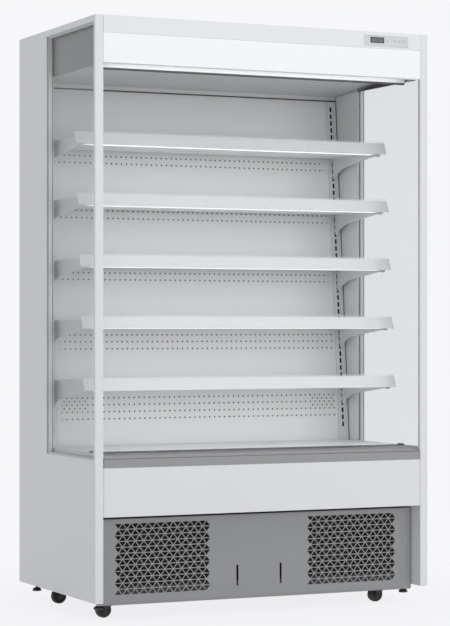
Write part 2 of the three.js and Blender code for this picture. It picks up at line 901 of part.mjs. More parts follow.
// ---------------------------------------------------------------- kick panel

// One vent of a field: a cell of a band of upright and hanging triangles, drawn in by half the web.
function ventOutline(x, z, cellHeight, hanging) {
  const side = Math.hypot(kick.ventPitch, cellHeight);
  const inRadius = (kick.ventPitch * cellHeight) / (kick.ventPitch + side);
  const share = 1 - kick.ventWeb / 2 / inRadius;
  const up = hanging ? -1 : 1;
  const centreZ = z + (hanging ? cellHeight - inRadius : inRadius);
  const corner = (dx, dz) => [x + up * dx * share, centreZ + up * (dz - inRadius) * share];
  return outline([corner(-kick.ventPitch, 0), corner(kick.ventPitch, 0), corner(0, cellHeight)]);
}

// Rows of triangles; every second row mirrors the one below it.
function ventField(side, y) {
  const outer = cabinet.width / 2 - kick.ventSideGap;
  const columns = Math.floor((outer - kick.ventInner) / kick.ventPitch) - 1;
  const start = (outer + kick.ventInner - (columns - 1) * kick.ventPitch) / 2;
  const cellHeight = (kick.ventTop - kick.ventBottom) / kick.ventRows;
  const vents = [];
  for (let row = 0; row < kick.ventRows; row += 1) {
    for (let column = 0; column < columns; column += 1) {
      vents.push(extrude(
        ventOutline(side * (start + column * kick.ventPitch), kick.ventBottom + row * cellHeight,
          cellHeight, (row + column) % 2 === 1),
        'y', y - 1, y + kick.sheet + 1));
    }
  }
  return vents;
}

function kickPanelShape() {
  const y = front + kick.setBack;
  const sheet = extrudeX(folded([
    [y + kick.bendBack, kick.bottom],
    [y, kick.bottom + kick.bend],
    [y, kick.top],
    [y + kick.flange, kick.top],
  ].reverse(), kick.sheet), innerHalf - kick.sideGap);
  const slots = [-1, 1].map((side) => block(
    [side * kick.slotX - kick.slotWidth / 2, side * kick.slotX + kick.slotWidth / 2],
    [y - 1, y + kick.sheet + 1],
    [kick.slotBottom, kick.slotTop]));
  return cut(sheet, ...slots, ...ventField(-1, y), ...ventField(1, y));
}
add('kick_panel', kickPanelShape(), greyPaint);

// ---------------------------------------------------------------- base frame

const corners = [['left', -1], ['right', 1]].flatMap(([label, side]) => [
  { name: `front_${label}`, side, castorY: front + castor.frontY, footY: front + foot.frontY },
  { name: `rear_${label}`, side, castorY: rear - castor.rearInset, footY: rear - foot.rearInset },
]).map((corner) => ({
  ...corner,
  castorX: corner.side * (cabinet.width / 2 - castor.insetX),
  footX: corner.side * (cabinet.width / 2 - foot.insetX),
}));

function baseFrameShape() {
  const frameFront = kickRear + seat;
  const low = cabinet.floorClear;
  const t = base.sheet;
  const tray = cut(
    block([-fitHalf, fitHalf], [frameFront, rear], [low, frameTop + base.upstand]),
    block([-fitHalf + t, fitHalf - t], [frameFront + t, rear - t], [frameTop, frameTop + base.upstand + 1]));
  const guardRear = rear - base.guardInset;
  const guard = block(
    [-fitHalf, fitHalf], [guardRear - base.guardSheet, guardRear], [low + t / 2, base.guardTop]);
  const louvres = [-1, 1].flatMap((side) => Array.from({ length: base.louvreRows }, (_, row) => block(
    [side * base.louvreInner, side * (cabinet.width / 2 - base.louvreSideGap)],
    [guardRear - base.guardSheet - 1, guardRear + 1],
    [base.louvreBottom + row * base.louvrePitch,
      base.louvreBottom + row * base.louvrePitch + base.louvreHeight])));
  const plates = corners.flatMap(({ castorX, castorY }) => [
    block(
      [castorX - castor.plateX / 2, castorX + castor.plateX / 2],
      [castorY - castor.plateY / 2, castorY + castor.plateY / 2],
      [low - castor.plateThick, low + t / 2]),
    drum(castor.kingpin, low - castor.plateThick - castor.crownThick + seat, low, 12)
      .translate(castorX, castorY, 0),
  ]);
  const footHoles = corners.map(({ footX, footY }) =>
    drum(foot.stemRadius + seat, low - 1, frameTop + 1, 12).translate(footX, footY, 0));
  return cut(join(tray, cut(guard, ...louvres), ...plates), ...footHoles);
}
add('base_frame', baseFrameShape(), blackPaint);

// ---------------------------------------------------------------- castors and feet

const crownTop = cabinet.floorClear - castor.plateThick - seat;

// Fork: swivel crown, two flared legs and the axle, about the swivel axis.
function castorForkShape() {
  const crownLow = crownTop - castor.crownThick;
  const legInner = castor.wheelWidth / 2 + castor.legPlay;
  const legOuter = legInner + castor.legThick;
  const side = new THREE.Shape();
  side.moveTo(castor.neckFront, crownTop);
  side.lineTo(-castor.trail + castor.bossRadius, axleZ);
  side.absarc(-castor.trail, axleZ, castor.bossRadius, 0, -Math.PI, true);
  side.lineTo(-castor.shoulder, crownLow);
  side.lineTo(-castor.neckRear, crownTop);
  const legs = [-1, 1].map((hand) => extrude(
    side, 'y', Math.min(hand * legInner, hand * legOuter), Math.max(hand * legInner, hand * legOuter), 3));
  const crown = cut(
    drum(castor.crownRadius, crownLow, crownTop, 16),
    drum(castor.kingpin + seat, crownLow - 1, crownTop + 1, 10));
  const axle = drum(castor.pinRadius, -legOuter, legOuter, 8, 'y').translate(-castor.trail, 0, axleZ);
  return join(crown, ...legs, axle);
}

function castorWheelShape() {
  const half = castor.wheelWidth / 2;
  const hub = half + castor.legPlay - seat;
  const bore = castor.pinRadius + seat;
  const { wheelRadius: r, hubRadius, tyreRound: round, dish } = castor;
  return turned([
    [bore, -hub], [hubRadius, -hub], [hubRadius, -half + dish], [r - 2 * round, -half + dish],
    [r - round, -half], [r, -half + round], [r, half - round], [r - round, half],
    [r - 2 * round, half - dish], [hubRadius, half - dish], [hubRadius, hub], [bore, hub], [bore, -hub],
  ], 14, 'y');
}

function footShape() {
  const { bottom, padRadius, padHeight, taper, nutRadius, nutHeight, stemRadius, stemTop } = foot;
  const nutTop = cabinet.floorClear - seat;
  return turned([
    [0, bottom], [padRadius, bottom], [padRadius, bottom + padHeight],
    [padRadius - taper, bottom + padHeight + taper], [stemRadius, bottom + padHeight + taper],
    [stemRadius, nutTop - nutHeight], [nutRadius, nutTop - nutHeight], [nutRadius, nutTop],
    [stemRadius, nutTop], [stemRadius, stemTop], [0, stemTop],
  ], 10);
}

const forkGeometry = castorForkShape();
const wheelGeometry = castorWheelShape();
const footGeometry = footShape();
for (const { name, castorX, castorY, footX, footY } of corners) {
  add(`castor_fork_${name}`, forkGeometry, blackPlastic).position.set(castorX, castorY, 0);
  add(`castor_wheel_${name}`, wheelGeometry, blackRubber)
    .position.set(castorX - castor.trail, castorY, axleZ);
  add(`foot_${name}`, footGeometry, blackPlastic).position.set(footX, footY, 0);
}

// ---------------------------------------------------------------- fans

const hubLength = (radius) => radius * fan.hubShare * fan.hubLength;

// Axial fan about Y: hub with a blind bore for the motor shaft, and pitched blades.
function fanShape(radius) {
  const hub = radius * fan.hubShare;
  const length = hubLength(radius);
  const body = cut(
    drum(hub, 0, length, 16, 'y'),
    drum(fan.shaftRadius + seat, length * fan.boreShare, length + 1, 8, 'y'));
  const reach = radius - hub + fan.root;
  const blades = Array.from({ length: fan.blades }, (_, i) =>
    new THREE.BoxGeometry(reach, fan.bladeThick, radius * fan.bladeShare)
      .rotateX(fan.pitch)
      .translate(radius - reach / 2, length / 2, 0)
      .rotateY((i * 2 * Math.PI) / fan.blades));
  return join(body, ...blades);
}

// Motor behind a fan, on a cross arm whose ends stand on the plate at plateY.
function fanMotor(radius, motorRadius, motorLength, armWidth, armReach, plateY) {
  const motorFront = hubLength(radius) + play;
  const motor = drum(motorRadius, motorFront, motorFront + motorLength, 12, 'y');
  const shaft = drum(fan.shaftRadius, hubLength(radius) * fan.boreShare + seat, motorFront + 1, 8, 'y');
  const armY = motorFront + motorLength * fan.armAlong;
  const armRear = armY + fan.armSheet;
  const arm = block([-armReach, armReach], [armY, armRear], [-armWidth / 2, armWidth / 2]);
  const legs = [-1, 1].map((side) => block(
    [side * armReach, side * (armReach - fan.armSheet)], [plateY, armRear], [-armWidth / 2, armWidth / 2]));
  return [motor, shaft, arm, ...legs];
}

// Fins and tubes drawn as one block, grooved front and back, in (x, y).
function finBlock(halfWidth, depth, height, pitch, fin, groove) {
  const count = Math.round((2 * halfWidth - fin) / pitch);
  const step = (2 * halfWidth - fin) / count;
  const edge = [];
  for (let i = 0; i <= count; i += 1) {
    const x = -halfWidth + i * step;
    edge.push([x, 0], [x + fin, 0]);
    if (i < count) edge.push([x + fin, groove], [x + step, groove]);
  }
  const far = edge.map(([x, y]) => [x, depth - y]).reverse();
  return extrude(outline([...edge, ...far]), 'z', 0, height);
}

// ---------------------------------------------------------------- evaporator in the tank

const evaporatorZ = tankFloor + seat;
const evapFanZ = evaporatorZ + evaporator.height / 2;
const fanX = evaporatorHalf / 2;
const fanStart = (radius) => -hubLength(radius) / 2;

function evaporatorShape() {
  const { frontY, depth, height, fanPlateY, fanPlate, fanRadius, fanPlay } = evaporator;
  const halfWidth = evaporatorHalf;
  const fins = finBlock(halfWidth, depth, height, evaporator.finPitch, evaporator.finThick, evaporator.groove)
    .translate(0, front + frontY, evaporatorZ);
  const plateRear = front + fanPlateY + fanPlate;
  const plate = block([-halfWidth, halfWidth], [front + fanPlateY, plateRear],
    [evaporatorZ, evaporatorZ + height]);
  const holes = [-1, 1].map((side) => drum(
    fanRadius + fanPlay, front + fanPlateY - 1, plateRear + 1, 20, 'y').translate(side * fanX, 0, evapFanZ));
  const ends = [-1, 1].map((side) => block(
    [side * halfWidth, side * (halfWidth - evaporator.endSheet)],
    [front + fanPlateY + fanPlate / 2, front + frontY + evaporator.groove + 1],
    [evaporatorZ, evaporatorZ + height]));
  const originY = front + fanPlateY + fanPlate / 2 + fanStart(fanRadius);
  const motors = [-1, 1].flatMap((side) => fanMotor(
    fanRadius, evaporator.motorRadius, evaporator.motorLength, evaporator.armWidth,
    fanRadius + fanPlay + evaporator.armPast, front + fanPlateY + fanPlate / 2 - originY)
    .map((piece) => piece.translate(side * fanX, originY, evapFanZ)));
  return join(cut(plate, ...holes), fins, ...ends, ...motors);
}
add('evaporator_coil', evaporatorShape(), aluminium);

const evapFanGeometry = fanShape(evaporator.fanRadius);
[-1, 1].forEach((side, i) => {
  add(`evaporator_fan_${i + 1}`, evapFanGeometry, blackPlastic).position.set(
    side * fanX,
    front + evaporator.fanPlateY + evaporator.fanPlate / 2 + fanStart(evaporator.fanRadius),
    evapFanZ);
});

// ---------------------------------------------------------------- condensing unit

const unitZ = frameTop + seat;
const condenserFanZ = unitZ + condensing.height / 2;
const shroudY = front + condensing.frontY + condensing.depth + condensing.shroudDepth;
const condenserX = cabinet.width / 2 - condensing.fromSide;

function condenserShape() {
  const { halfWidth, depth, height, frontY, shroudDepth, shroudSheet, fanRadius, fanPlay } = condensing;
  const fins = finBlock(halfWidth, depth, height, condensing.finPitch, condensing.finThick, condensing.groove)
    .translate(0, front + frontY, unitZ);
  const finsRear = front + frontY + depth;
  const shroud = cut(
    block([-halfWidth, halfWidth], [finsRear - 1, shroudY], [unitZ, unitZ + height]),
    block([-halfWidth + shroudSheet, halfWidth - shroudSheet], [finsRear - 2, shroudY - shroudSheet],
      [unitZ + shroudSheet, unitZ + height - shroudSheet]),
    drum(fanRadius + fanPlay, shroudY - shroudSheet - 1, shroudY + 1, 24, 'y')
      .translate(0, 0, condenserFanZ));
  const originY = shroudY + fanStart(fanRadius);
  const motor = fanMotor(fanRadius, condensing.motorRadius, condensing.motorLength, condensing.armWidth,
    fanRadius + fanPlay + condensing.armPast, shroudY - shroudSheet / 2 - originY)
    .map((piece) => piece.translate(0, originY, condenserFanZ));
  const { bendInset, bendReach: reach, bendRise: rise, bendFront, bendRear } = condensing;
  const bends = condensing.bendShares.map((share) => {
    const z = unitZ + height * share;
    const x = halfWidth - bendInset;
    const [y0, y1] = [finsRear - bendFront, finsRear - bendRear];
    return tube([[x, y0, z], [x + reach * 0.6, y0, z + rise * 0.1], [x + reach, (y0 + y1) / 2, z + rise / 2],
      [x + reach * 0.6, y1, z + rise * 0.9], [x, y1, z + rise]], condensing.tubeRadius, 6, 3);
  });
  return join(shroud, fins, ...motor, ...bends).translate(condenserX, 0, 0);
}
add('condenser', condenserShape(), aluminium);

add('condenser_fan', fanShape(condensing.fanRadius), blackPlastic)
  .position.set(condenserX, shroudY + fanStart(condensing.fanRadius), condenserFanZ);

function compressorShape() {
  const c = compressor;
  const low = c.footHeight;
  const top = low + c.height;
  const seam = low + c.height * c.seamShare;
  const shell = turned([
    [0, low], [c.radius * c.baseShare, low], [c.radius, low + c.shoulder],
    [c.radius, seam - c.seam], [c.radius + c.seam, seam - c.seam],
    [c.radius + c.seam, seam + c.seam], [c.radius, seam + c.seam],
    [c.radius, top - c.shoulder], [c.radius * c.domeShare, top - c.shoulder / 2],
    [c.radius * c.crownShare, top], [0, top],
  ], 16);
  const plate = block([-c.plateX / 2, c.plateX / 2], [-c.plateY / 2, c.plateY / 2], [low, low + c.plateThick]);
  const feet = [-1, 1].flatMap((sx) => [-1, 1].map((sy) => drum(c.footRadius, 0, low + 1, 8)
    .translate(sx * (c.plateX / 2 - c.footInset), sy * (c.plateY / 2 - c.footInset), 0)));
  const boxLow = low + c.height * c.boxShare;
  const terminals = block(
    [-c.radius - c.boxOut, -c.radius + c.boxIn], [-c.boxWidth / 2, c.boxWidth / 2], [boxLow, boxLow + c.boxHeight]);
  const pipe = (rise, end) => tube([
    [c.radius - c.pipeRoot, 0, seam + rise], [c.radius + c.pipeOut / 2, 0, seam + rise],
    [c.radius + c.pipeOut, 0, seam + rise + c.pipeOut / 2], [c.radius + c.pipeOut, 0, seam + end],
  ], c.pipeRadius, 6, 3);
  const suction = pipe(c.suctionRise, c.suctionTop);
  const discharge = pipe(c.dischargeRise, c.dischargeTop).rotateZ(Math.PI / 2);
  return join(shell, plate, ...feet, terminals, suction, discharge);
}
add('compressor', compressorShape(), blackPaint)
  .position.set(-cabinet.width / 2 + compressor.fromSide, front + compressor.y, unitZ);

add('drip_tray', cut(
  block([-dripTray.width / 2, dripTray.width / 2], [-dripTray.depth / 2, dripTray.depth / 2],
    [0, dripTray.height]),
  block([-dripTray.width / 2 + dripTray.wall, dripTray.width / 2 - dripTray.wall],
    [-dripTray.depth / 2 + dripTray.wall, dripTray.depth / 2 - dripTray.wall],
    [dripTray.wall, dripTray.height + 1])),
blackPlastic).position.set(dripTrayX, dripTrayY, unitZ);

export default fridge;
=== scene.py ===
# Open multideck display fridge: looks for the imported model.
# Metres, +Z up, floor at 0, the open front faces -Y.
import math
import bpy
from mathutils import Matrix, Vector


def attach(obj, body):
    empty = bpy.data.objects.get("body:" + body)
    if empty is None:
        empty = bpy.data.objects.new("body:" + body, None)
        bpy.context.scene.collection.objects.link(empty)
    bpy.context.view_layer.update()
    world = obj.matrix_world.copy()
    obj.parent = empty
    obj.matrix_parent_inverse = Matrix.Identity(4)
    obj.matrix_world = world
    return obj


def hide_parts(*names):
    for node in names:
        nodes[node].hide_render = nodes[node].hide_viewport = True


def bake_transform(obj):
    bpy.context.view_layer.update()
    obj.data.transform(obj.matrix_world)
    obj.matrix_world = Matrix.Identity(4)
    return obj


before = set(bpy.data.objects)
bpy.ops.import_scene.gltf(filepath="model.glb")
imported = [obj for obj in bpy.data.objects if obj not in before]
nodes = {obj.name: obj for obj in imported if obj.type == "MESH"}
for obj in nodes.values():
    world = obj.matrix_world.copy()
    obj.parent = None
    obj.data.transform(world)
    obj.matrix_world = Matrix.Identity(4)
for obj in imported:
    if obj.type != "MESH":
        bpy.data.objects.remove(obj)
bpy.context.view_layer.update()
sides = {"left": -1, "right": 1}
corners = ["front_left", "front_right", "rear_left", "rear_right"]
print("model loaded")


# working helpers

def clearSelection():
    if bpy.context.object and bpy.context.object.mode != "OBJECT":
        bpy.ops.object.mode_set(mode="OBJECT")
    bpy.ops.object.select_all(action="DESELECT")


def leaveEdit():
    bpy.ops.object.mode_set(mode="OBJECT")


def pick(obj):
    clearSelection()
    obj.select_set(True)
    bpy.context.view_layer.objects.active = obj
    return obj


def justAdded(name):
    obj = bpy.context.object
    obj.name = name
    bpy.ops.object.transform_apply(location=True, rotation=True, scale=True)
    return obj


# turned first, then moved; both become the mesh's own
def placed(obj, place=(0, 0, 0), turn=(0, 0, 0)):
    pick(obj)
    obj.rotation_euler = turn
    obj.location = place
    return justAdded(obj.name)


def block(name, low, high):
    clearSelection()
    middle = [(a + b) / 2 for a, b in zip(low, high)]
    bpy.ops.mesh.primitive_cube_add(size=1, location=middle)
    bpy.context.object.scale = [abs(b - a) for a, b in zip(low, high)]
    return justAdded(name)


def modify(obj, kind, **values):
    pick(obj)
    bpy.ops.object.modifier_add(type=kind)
    modifier = obj.modifiers[-1]
    for key, value in values.items():
        setattr(modifier, key, value)
    bpy.ops.object.modifier_apply(modifier=modifier.name)
    return obj


def roundEdges(obj, width, segments=2, angle=35):
    return modify(obj, "BEVEL", width=width, segments=segments, limit_method="ANGLE",
                  angle_limit=math.radians(angle), use_clamp_overlap=True)


# smooth bends between flats that stay flat
def smooth(obj, angle=35):
    pick(obj)
    bpy.ops.object.shade_smooth_by_angle(angle=math.radians(angle))
    return modify(obj, "WEIGHTED_NORMAL", keep_sharp=True)


def dress(obj, material, body="cabinet", replaced=()):
    obj.data.materials.clear()
    obj.data.materials.append(material)
    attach(obj, body)
    if replaced:
        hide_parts(*replaced)
    return obj


# bevels, even shading and a finish in one step
def finished(obj, width, material, body="cabinet", segments=2, replaced=()):
    return dress(smooth(roundEdges(obj, width, segments)), material, body, replaced)


# a CAD node's shape with merged corners, ready for bevels
def copyOf(node, name):
    obj = bpy.data.objects.new(name, nodes[node].data.copy())
    bpy.context.scene.collection.objects.link(obj)
    pick(obj)
    bpy.ops.object.mode_set(mode="EDIT")
    bpy.ops.mesh.select_mode(type="VERT")
    bpy.ops.mesh.select_all(action="SELECT")
    bpy.ops.mesh.customdata_custom_splitnormals_clear()
    bpy.ops.mesh.remove_doubles(threshold=0.00002)
    bpy.ops.mesh.dissolve_limited(angle_limit=math.radians(1))
    leaveEdit()
    return obj


def refined(node, name, material, width, body="cabinet", segments=2):
    return finished(copyOf(node, name), width, material, body, segments, [node])


# a line through points, left open in edit mode
def polyline(name, points):
    clearSelection()
    points = [Vector(p) for p in points]
    bpy.ops.mesh.primitive_plane_add(size=0.001, location=points[0])
    obj = justAdded(name)
    bpy.ops.object.mode_set(mode="EDIT")
    bpy.ops.mesh.select_mode(type="VERT")
    bpy.ops.mesh.select_all(action="SELECT")
    bpy.ops.mesh.merge(type="CENTER")
    for before, after in zip(points, points[1:]):
        bpy.ops.mesh.extrude_region_move(TRANSFORM_OT_translate={"value": after - before})
    bpy.ops.mesh.select_all(action="SELECT")
    return obj


# a closed outline pushed along a vector
def prism(name, points, push):
    obj = polyline(name, points)
    bpy.ops.mesh.edge_face_add()
    bpy.ops.mesh.extrude_region_move(TRANSFORM_OT_translate={"value": Vector(push)})
    bpy.ops.mesh.select_all(action="SELECT")
    bpy.ops.mesh.normals_make_consistent(inside=False)
    leaveEdit()
    return obj


# a folded sheet seen from its end: the path is one face, the thickness goes to its left
def sheetOutline(path, thick):
    path = [Vector(p) for p in path]
    normals = [(b - a).orthogonal().normalized() for a, b in zip(path, path[1:])]
    other = []
    for i, point in enumerate(path):
        before, after = normals[max(i - 1, 0)], normals[min(i, len(normals) - 1)]
        other.append(point + (before + after) * thick / (1 + before.dot(after)))
    return [tuple(p) for p in path + other[::-1]]


def foldedSheet(name, path, thick, half):
    return prism(name, [(-half, y, z) for y, z in sheetOutline(path, thick)], (2 * half, 0, 0))


def selectParts(obj, kind, test):
    pick(obj)
    bpy.ops.object.mode_set(mode="EDIT")
    bpy.ops.mesh.select_mode(type=kind)
    bpy.ops.mesh.select_all(action="DESELECT")
    leaveEdit()
    mesh = obj.data
    if kind == "FACE":
        for face in mesh.polygons:
            face.select = test(face.center, face.normal)
    else:
        for edge in mesh.edges:
            edge.select = test(*(mesh.vertices[i].co for i in edge.vertices))
    bpy.ops.object.mode_set(mode="EDIT")


# the outermost faces across an axis, moved in by the depth and left selected in edit mode
def sinkFaces(obj, axis, way, limit, depth):
    selectParts(obj, "FACE", lambda centre, normal: normal[axis] * way > 0.9 and centre[axis] * way > limit * way)
    shift = [0, 0, 0]
    shift[axis] = -way * depth
    bpy.ops.transform.translate(value=shift)


# bevels only the edges that run along one axis
def roundAlong(obj, axis, width, segments=4, keep=lambda a, b: True):
    selectParts(obj, "EDGE", lambda a, b: (b - a).length - abs((b - a)[axis]) < 1e-5 and keep(a, b))
    bpy.ops.mesh.bevel(offset=width, segments=segments, affect="EDGES")
    leaveEdit()
    return obj


# a rectangular ring: a block with both faces across the axis inset and bridged
def ringFrame(name, low, high, width, axis=0):
    obj = block(name, low, high)
    selectParts(obj, "FACE", lambda centre, normal: abs(normal[axis]) > 0.9)
    bpy.ops.mesh.inset(thickness=width, use_individual=True)
    bpy.ops.mesh.bridge_edge_loops()
    leaveEdit()
    return obj


def copied(obj, name, shift=(0, 0, 0)):
    pick(obj)
    bpy.ops.object.duplicate(linked=False)
    bpy.context.object.location = shift
    return justAdded(name)


def joined(name, parts):
    clearSelection()
    for part in parts:
        part.select_set(True)
    bpy.context.view_layer.objects.active = parts[0]
    bpy.ops.object.join()
    parts[0].name = name
    return parts[0]


def repeated(obj, count, step):
    return modify(obj, "ARRAY", count=count, use_relative_offset=False,
                  use_constant_offset=True, constant_offset_displace=step)


def drilled(obj, cutter):
    modify(obj, "BOOLEAN", operation="DIFFERENCE", object=cutter, solver="MANIFOLD")
    bpy.data.objects.remove(cutter)
    return obj


def rod(name, radius, start, end, sides=32):
    clearSelection()
    start, end = Vector(start), Vector(end)
    bpy.ops.mesh.primitive_cylinder_add(
        vertices=sides, radius=radius, depth=(end - start).length, location=(start + end) / 2,
        rotation=(end - start).to_track_quat("Z", "Y").to_euler())
    return justAdded(name)


# a wire ring about Y
def ring(name, radius, thin, centre, segments=48, sides=6):
    clearSelection()
    bpy.ops.mesh.primitive_torus_add(
        major_radius=radius, minor_radius=thin, major_segments=segments, minor_segments=sides,
        location=centre, rotation=(math.pi / 2, 0, 0))
    return justAdded(name)


# a turned piece: (radius, height) points spun round an axis through the centre
def turned(name, profile, centre, axis="Z", steps=48):
    obj = polyline(name, [(radius, 0, height) for radius, height in profile])
    bpy.ops.mesh.spin(steps=steps, angle=2 * math.pi, center=(0, 0, 0), axis=(0, 0, 1))
    bpy.ops.mesh.select_all(action="SELECT")
    bpy.ops.mesh.remove_doubles(threshold=0.00002)
    bpy.ops.mesh.normals_make_consistent(inside=False)
    leaveEdit()
    return placed(obj, centre, (-math.pi / 2 if axis == "Y" else 0, 0, 0))


def onBothSides(make):
    for side, way in sides.items():
        make(side, way)


# camera

cameraSettings = {
    "place": (-3.1845, -6.843, 0.932),
    "heading": -25.04,
    "lens": 128.1,
    "shiftY": 0.0208,
}

clearSelection()
bpy.ops.object.camera_add(
    location=cameraSettings["place"],
    rotation=(math.radians(90), 0, math.radians(cameraSettings["heading"])))
camera = bpy.context.object
camera.data.lens = cameraSettings["lens"]
camera.data.sensor_width = 36
camera.data.shift_y = cameraSettings["shiftY"]
camera.data.clip_end = 60
bpy.context.scene.camera = camera
bpy.context.scene.view_settings.view_transform = "Standard"


# surface effects shared by the materials

def newGroup(name, inputs):
    tree = bpy.data.node_groups.new(name, "ShaderNodeTree")
    for label, kind, value in inputs:
        socket = tree.interface.new_socket(label, in_out="INPUT", socket_type="NodeSocket" + kind)
        socket.default_value = value
    for label, kind in (("Color", "Color"), ("Roughness", "Float"), ("Height", "Float")):
        tree.interface.new_socket(label, in_out="OUTPUT", socket_type="NodeSocket" + kind)
    return tree, tree.nodes.new("NodeGroupInput"), tree.nodes.new("NodeGroupOutput")


def addNode(tree, kind, **values):
    node = tree.nodes.new("ShaderNode" + kind)
    for key, value in values.items():
        if key in node.inputs:
            node.inputs[key].default_value = value
        else:
            setattr(node, key, value)
    return node


def mathNode(tree, operation, first, second):
    node = addNode(tree, "Math", operation=operation)
    for socket, value in zip(node.inputs, (first, second)):
        if isinstance(value, (int, float)):
            socket.default_value = value
        else:
            tree.links.new(value, socket)
    return node.outputs[0]


def noise(tree, place, **values):
    node = addNode(tree, "TexNoise", **values)
    tree.links.new(place, node.inputs["Vector"])
    return node


def swing(tree, texture):
    return mathNode(tree, "SUBTRACT", texture.outputs["Fac"], 0.5)


# the given colour, lighter and darker by the amount
def tinted(tree, given, out, change, amount):
    tone = mathNode(tree, "ADD", mathNode(tree, "MULTIPLY", change, given.outputs[amount]), 1.0)
    tint = addNode(tree, "VectorMath", operation="SCALE")
    tree.links.new(given.outputs["Color"], tint.inputs[0])
    tree.links.new(tone, tint.inputs["Scale"])
    tree.links.new(tint.outputs[0], out.inputs["Color"])


def roughened(tree, given, out, change, amount, relief):
    rough = mathNode(tree, "MULTIPLY", change, amount)
    tree.links.new(mathNode(tree, "ADD", rough, given.outputs["Roughness"]), out.inputs["Roughness"])
    tree.links.new(relief.outputs["Fac"], out.inputs["Height"])


# one shader or the other, by a share between 0 and 1
def mixShaders(tree, share, first, second, surface):
    either = tree.nodes.new("ShaderNodeMixShader")
    for socket, source in zip(either.inputs, (share, first.outputs[0], second.outputs[0])):
        tree.links.new(source, socket)
    tree.links.new(either.outputs[0], surface)


def newMaterial(name, **values):
    material = bpy.data.materials.new(name)
    material.use_nodes = True
    shader = material.node_tree.nodes["Principled BSDF"]
    for key, value in values.items():
        shader.inputs[key.replace("_", " ")].default_value = value
    return material, material.node_tree, shader


# sprayed paint: faint clouds of tone, and orange peel for the bump
def makePaintSkin():
    tree, given, out = newGroup("paintSkin", [
        ("Color", "Color", (0.8, 0.8, 0.8, 1)), ("Clouds", "Float", 0.03),
        ("Roughness", "Float", 0.4), ("Spread", "Float", 0.06), ("Peel", "Float", 420.0),
    ])
    place = addNode(tree, "TexCoord").outputs["Object"]
    peel = noise(tree, place, Detail=1.0)
    tree.links.new(given.outputs["Peel"], peel.inputs["Scale"])
    tinted(tree, given, out, swing(tree, noise(tree, place, Scale=2.3, Detail=3.0)), "Clouds")
    fine = swing(tree, noise(tree, place, Scale=19.0, Detail=4.0))
    roughened(tree, given, out, fine, given.outputs["Spread"], peel)
    return tree


# metal with a grain: long fine lines along one direction, and cloudy roughness
def makeMetalGrain():
    tree, given, out = newGroup("metalGrain", [
        ("Color", "Color", (0.6, 0.6, 0.6, 1)), ("Contrast", "Float", 0.12),
        ("Roughness", "Float", 0.3), ("Spread", "Float", 0.15), ("Stretch", "Vector", (3.0, 500.0, 500.0)),
    ])
    place = addNode(tree, "TexCoord").outputs["Object"]
    stretched = addNode(tree, "VectorMath", operation="MULTIPLY")
    tree.links.new(place, stretched.inputs[0])
    tree.links.new(given.outputs["Stretch"], stretched.inputs[1])
    lines = noise(tree, stretched.outputs[0], Scale=1.0, Detail=3.0)
    clouds = noise(tree, place, Scale=14.0, Detail=3.0)
    tinted(tree, given, out, swing(tree, lines), "Contrast")
    both = mathNode(tree, "ADD", swing(tree, lines), swing(tree, clouds))
    roughened(tree, given, out, both, given.outputs["Spread"], lines)
    return tree


# moulded plastic and rubber: fine grain, and floor dust that thins out upwards
def makeMouldedGrain():
    tree, given, out = newGroup("mouldedGrain", [
        ("Color", "Color", (0.1, 0.1, 0.1, 1)), ("Dust", "Color", (0.32, 0.31, 0.29, 1)),
        ("Dust Amount", "Float", 0.0), ("Dust Top", "Float", 0.06),
        ("Roughness", "Float", 0.5), ("Grain", "Float", 900.0),
    ])
    place = addNode(tree, "TexCoord").outputs["Object"]
    grain = noise(tree, place, Detail=2.0)
    tree.links.new(given.outputs["Grain"], grain.inputs["Scale"])
    patches = noise(tree, place, Scale=45.0, Detail=4.0)
    split = addNode(tree, "SeparateXYZ")
    tree.links.new(place, split.inputs[0])
    height = mathNode(tree, "DIVIDE", split.outputs["Z"], given.outputs["Dust Top"])
    low = mathNode(tree, "MULTIPLY", mathNode(tree, "SUBTRACT", 1.0, height), given.outputs["Dust Amount"])
    mask = addNode(tree, "Math", operation="MULTIPLY", use_clamp=True)
    tree.links.new(low, mask.inputs[0])
    tree.links.new(patches.outputs["Fac"], mask.inputs[1])
    mix = addNode(tree, "Mix", data_type="RGBA")
    tree.links.new(mask.outputs[0], mix.inputs["Factor"])
    tree.links.new(given.outputs["Color"], mix.inputs[6])
    tree.links.new(given.outputs["Dust"], mix.inputs[7])
    tree.links.new(mix.outputs[2], out.inputs["Color"])
    roughened(tree, given, out, swing(tree, patches), 0.12, grain)
    return tree


paintSkin = makePaintSkin()
metalGrain = makeMetalGrain()
mouldedGrain = makeMouldedGrain()


def skinned(name, slot, group, groupValues, bump, distance, **shaderValues):
    material, tree, shader = newMaterial(name, **shaderValues)
    effect = tree.nodes.new("ShaderNodeGroup")
    effect.node_tree = group
    for key, value in groupValues.items():
        effect.inputs[key].default_value = value
    relief = addNode(tree, "Bump", Strength=bump, Distance=distance)
    tree.links.new(effect.outputs["Color"], shader.inputs["Base Color"])
    tree.links.new(effect.outputs["Roughness"], shader.inputs["Roughness"])
    tree.links.new(effect.outputs["Height"], relief.inputs["Height"])
    tree.links.new(relief.outputs["Normal"], shader.inputs["Normal"])
    return material


def paint(name, slot, color, roughness, clouds=0.03, peel=420.0, bump=0.12):
    return skinned(name, slot, paintSkin, {
        "Color": (*color, 1), "Roughness": roughness, "Clouds": clouds, "Peel": peel,
    }, bump, 0.0003)


def metal(name, slot, color, roughness, stretch, contrast=0.12, spread=0.15, bump=0.1):
    return skinned(name, slot, metalGrain, {
        "Color": (*color, 1), "Roughness": roughness, "Stretch": stretch,
        "Contrast": contrast, "Spread": spread,
    }, bump, 0.0002, Metallic=1.0)


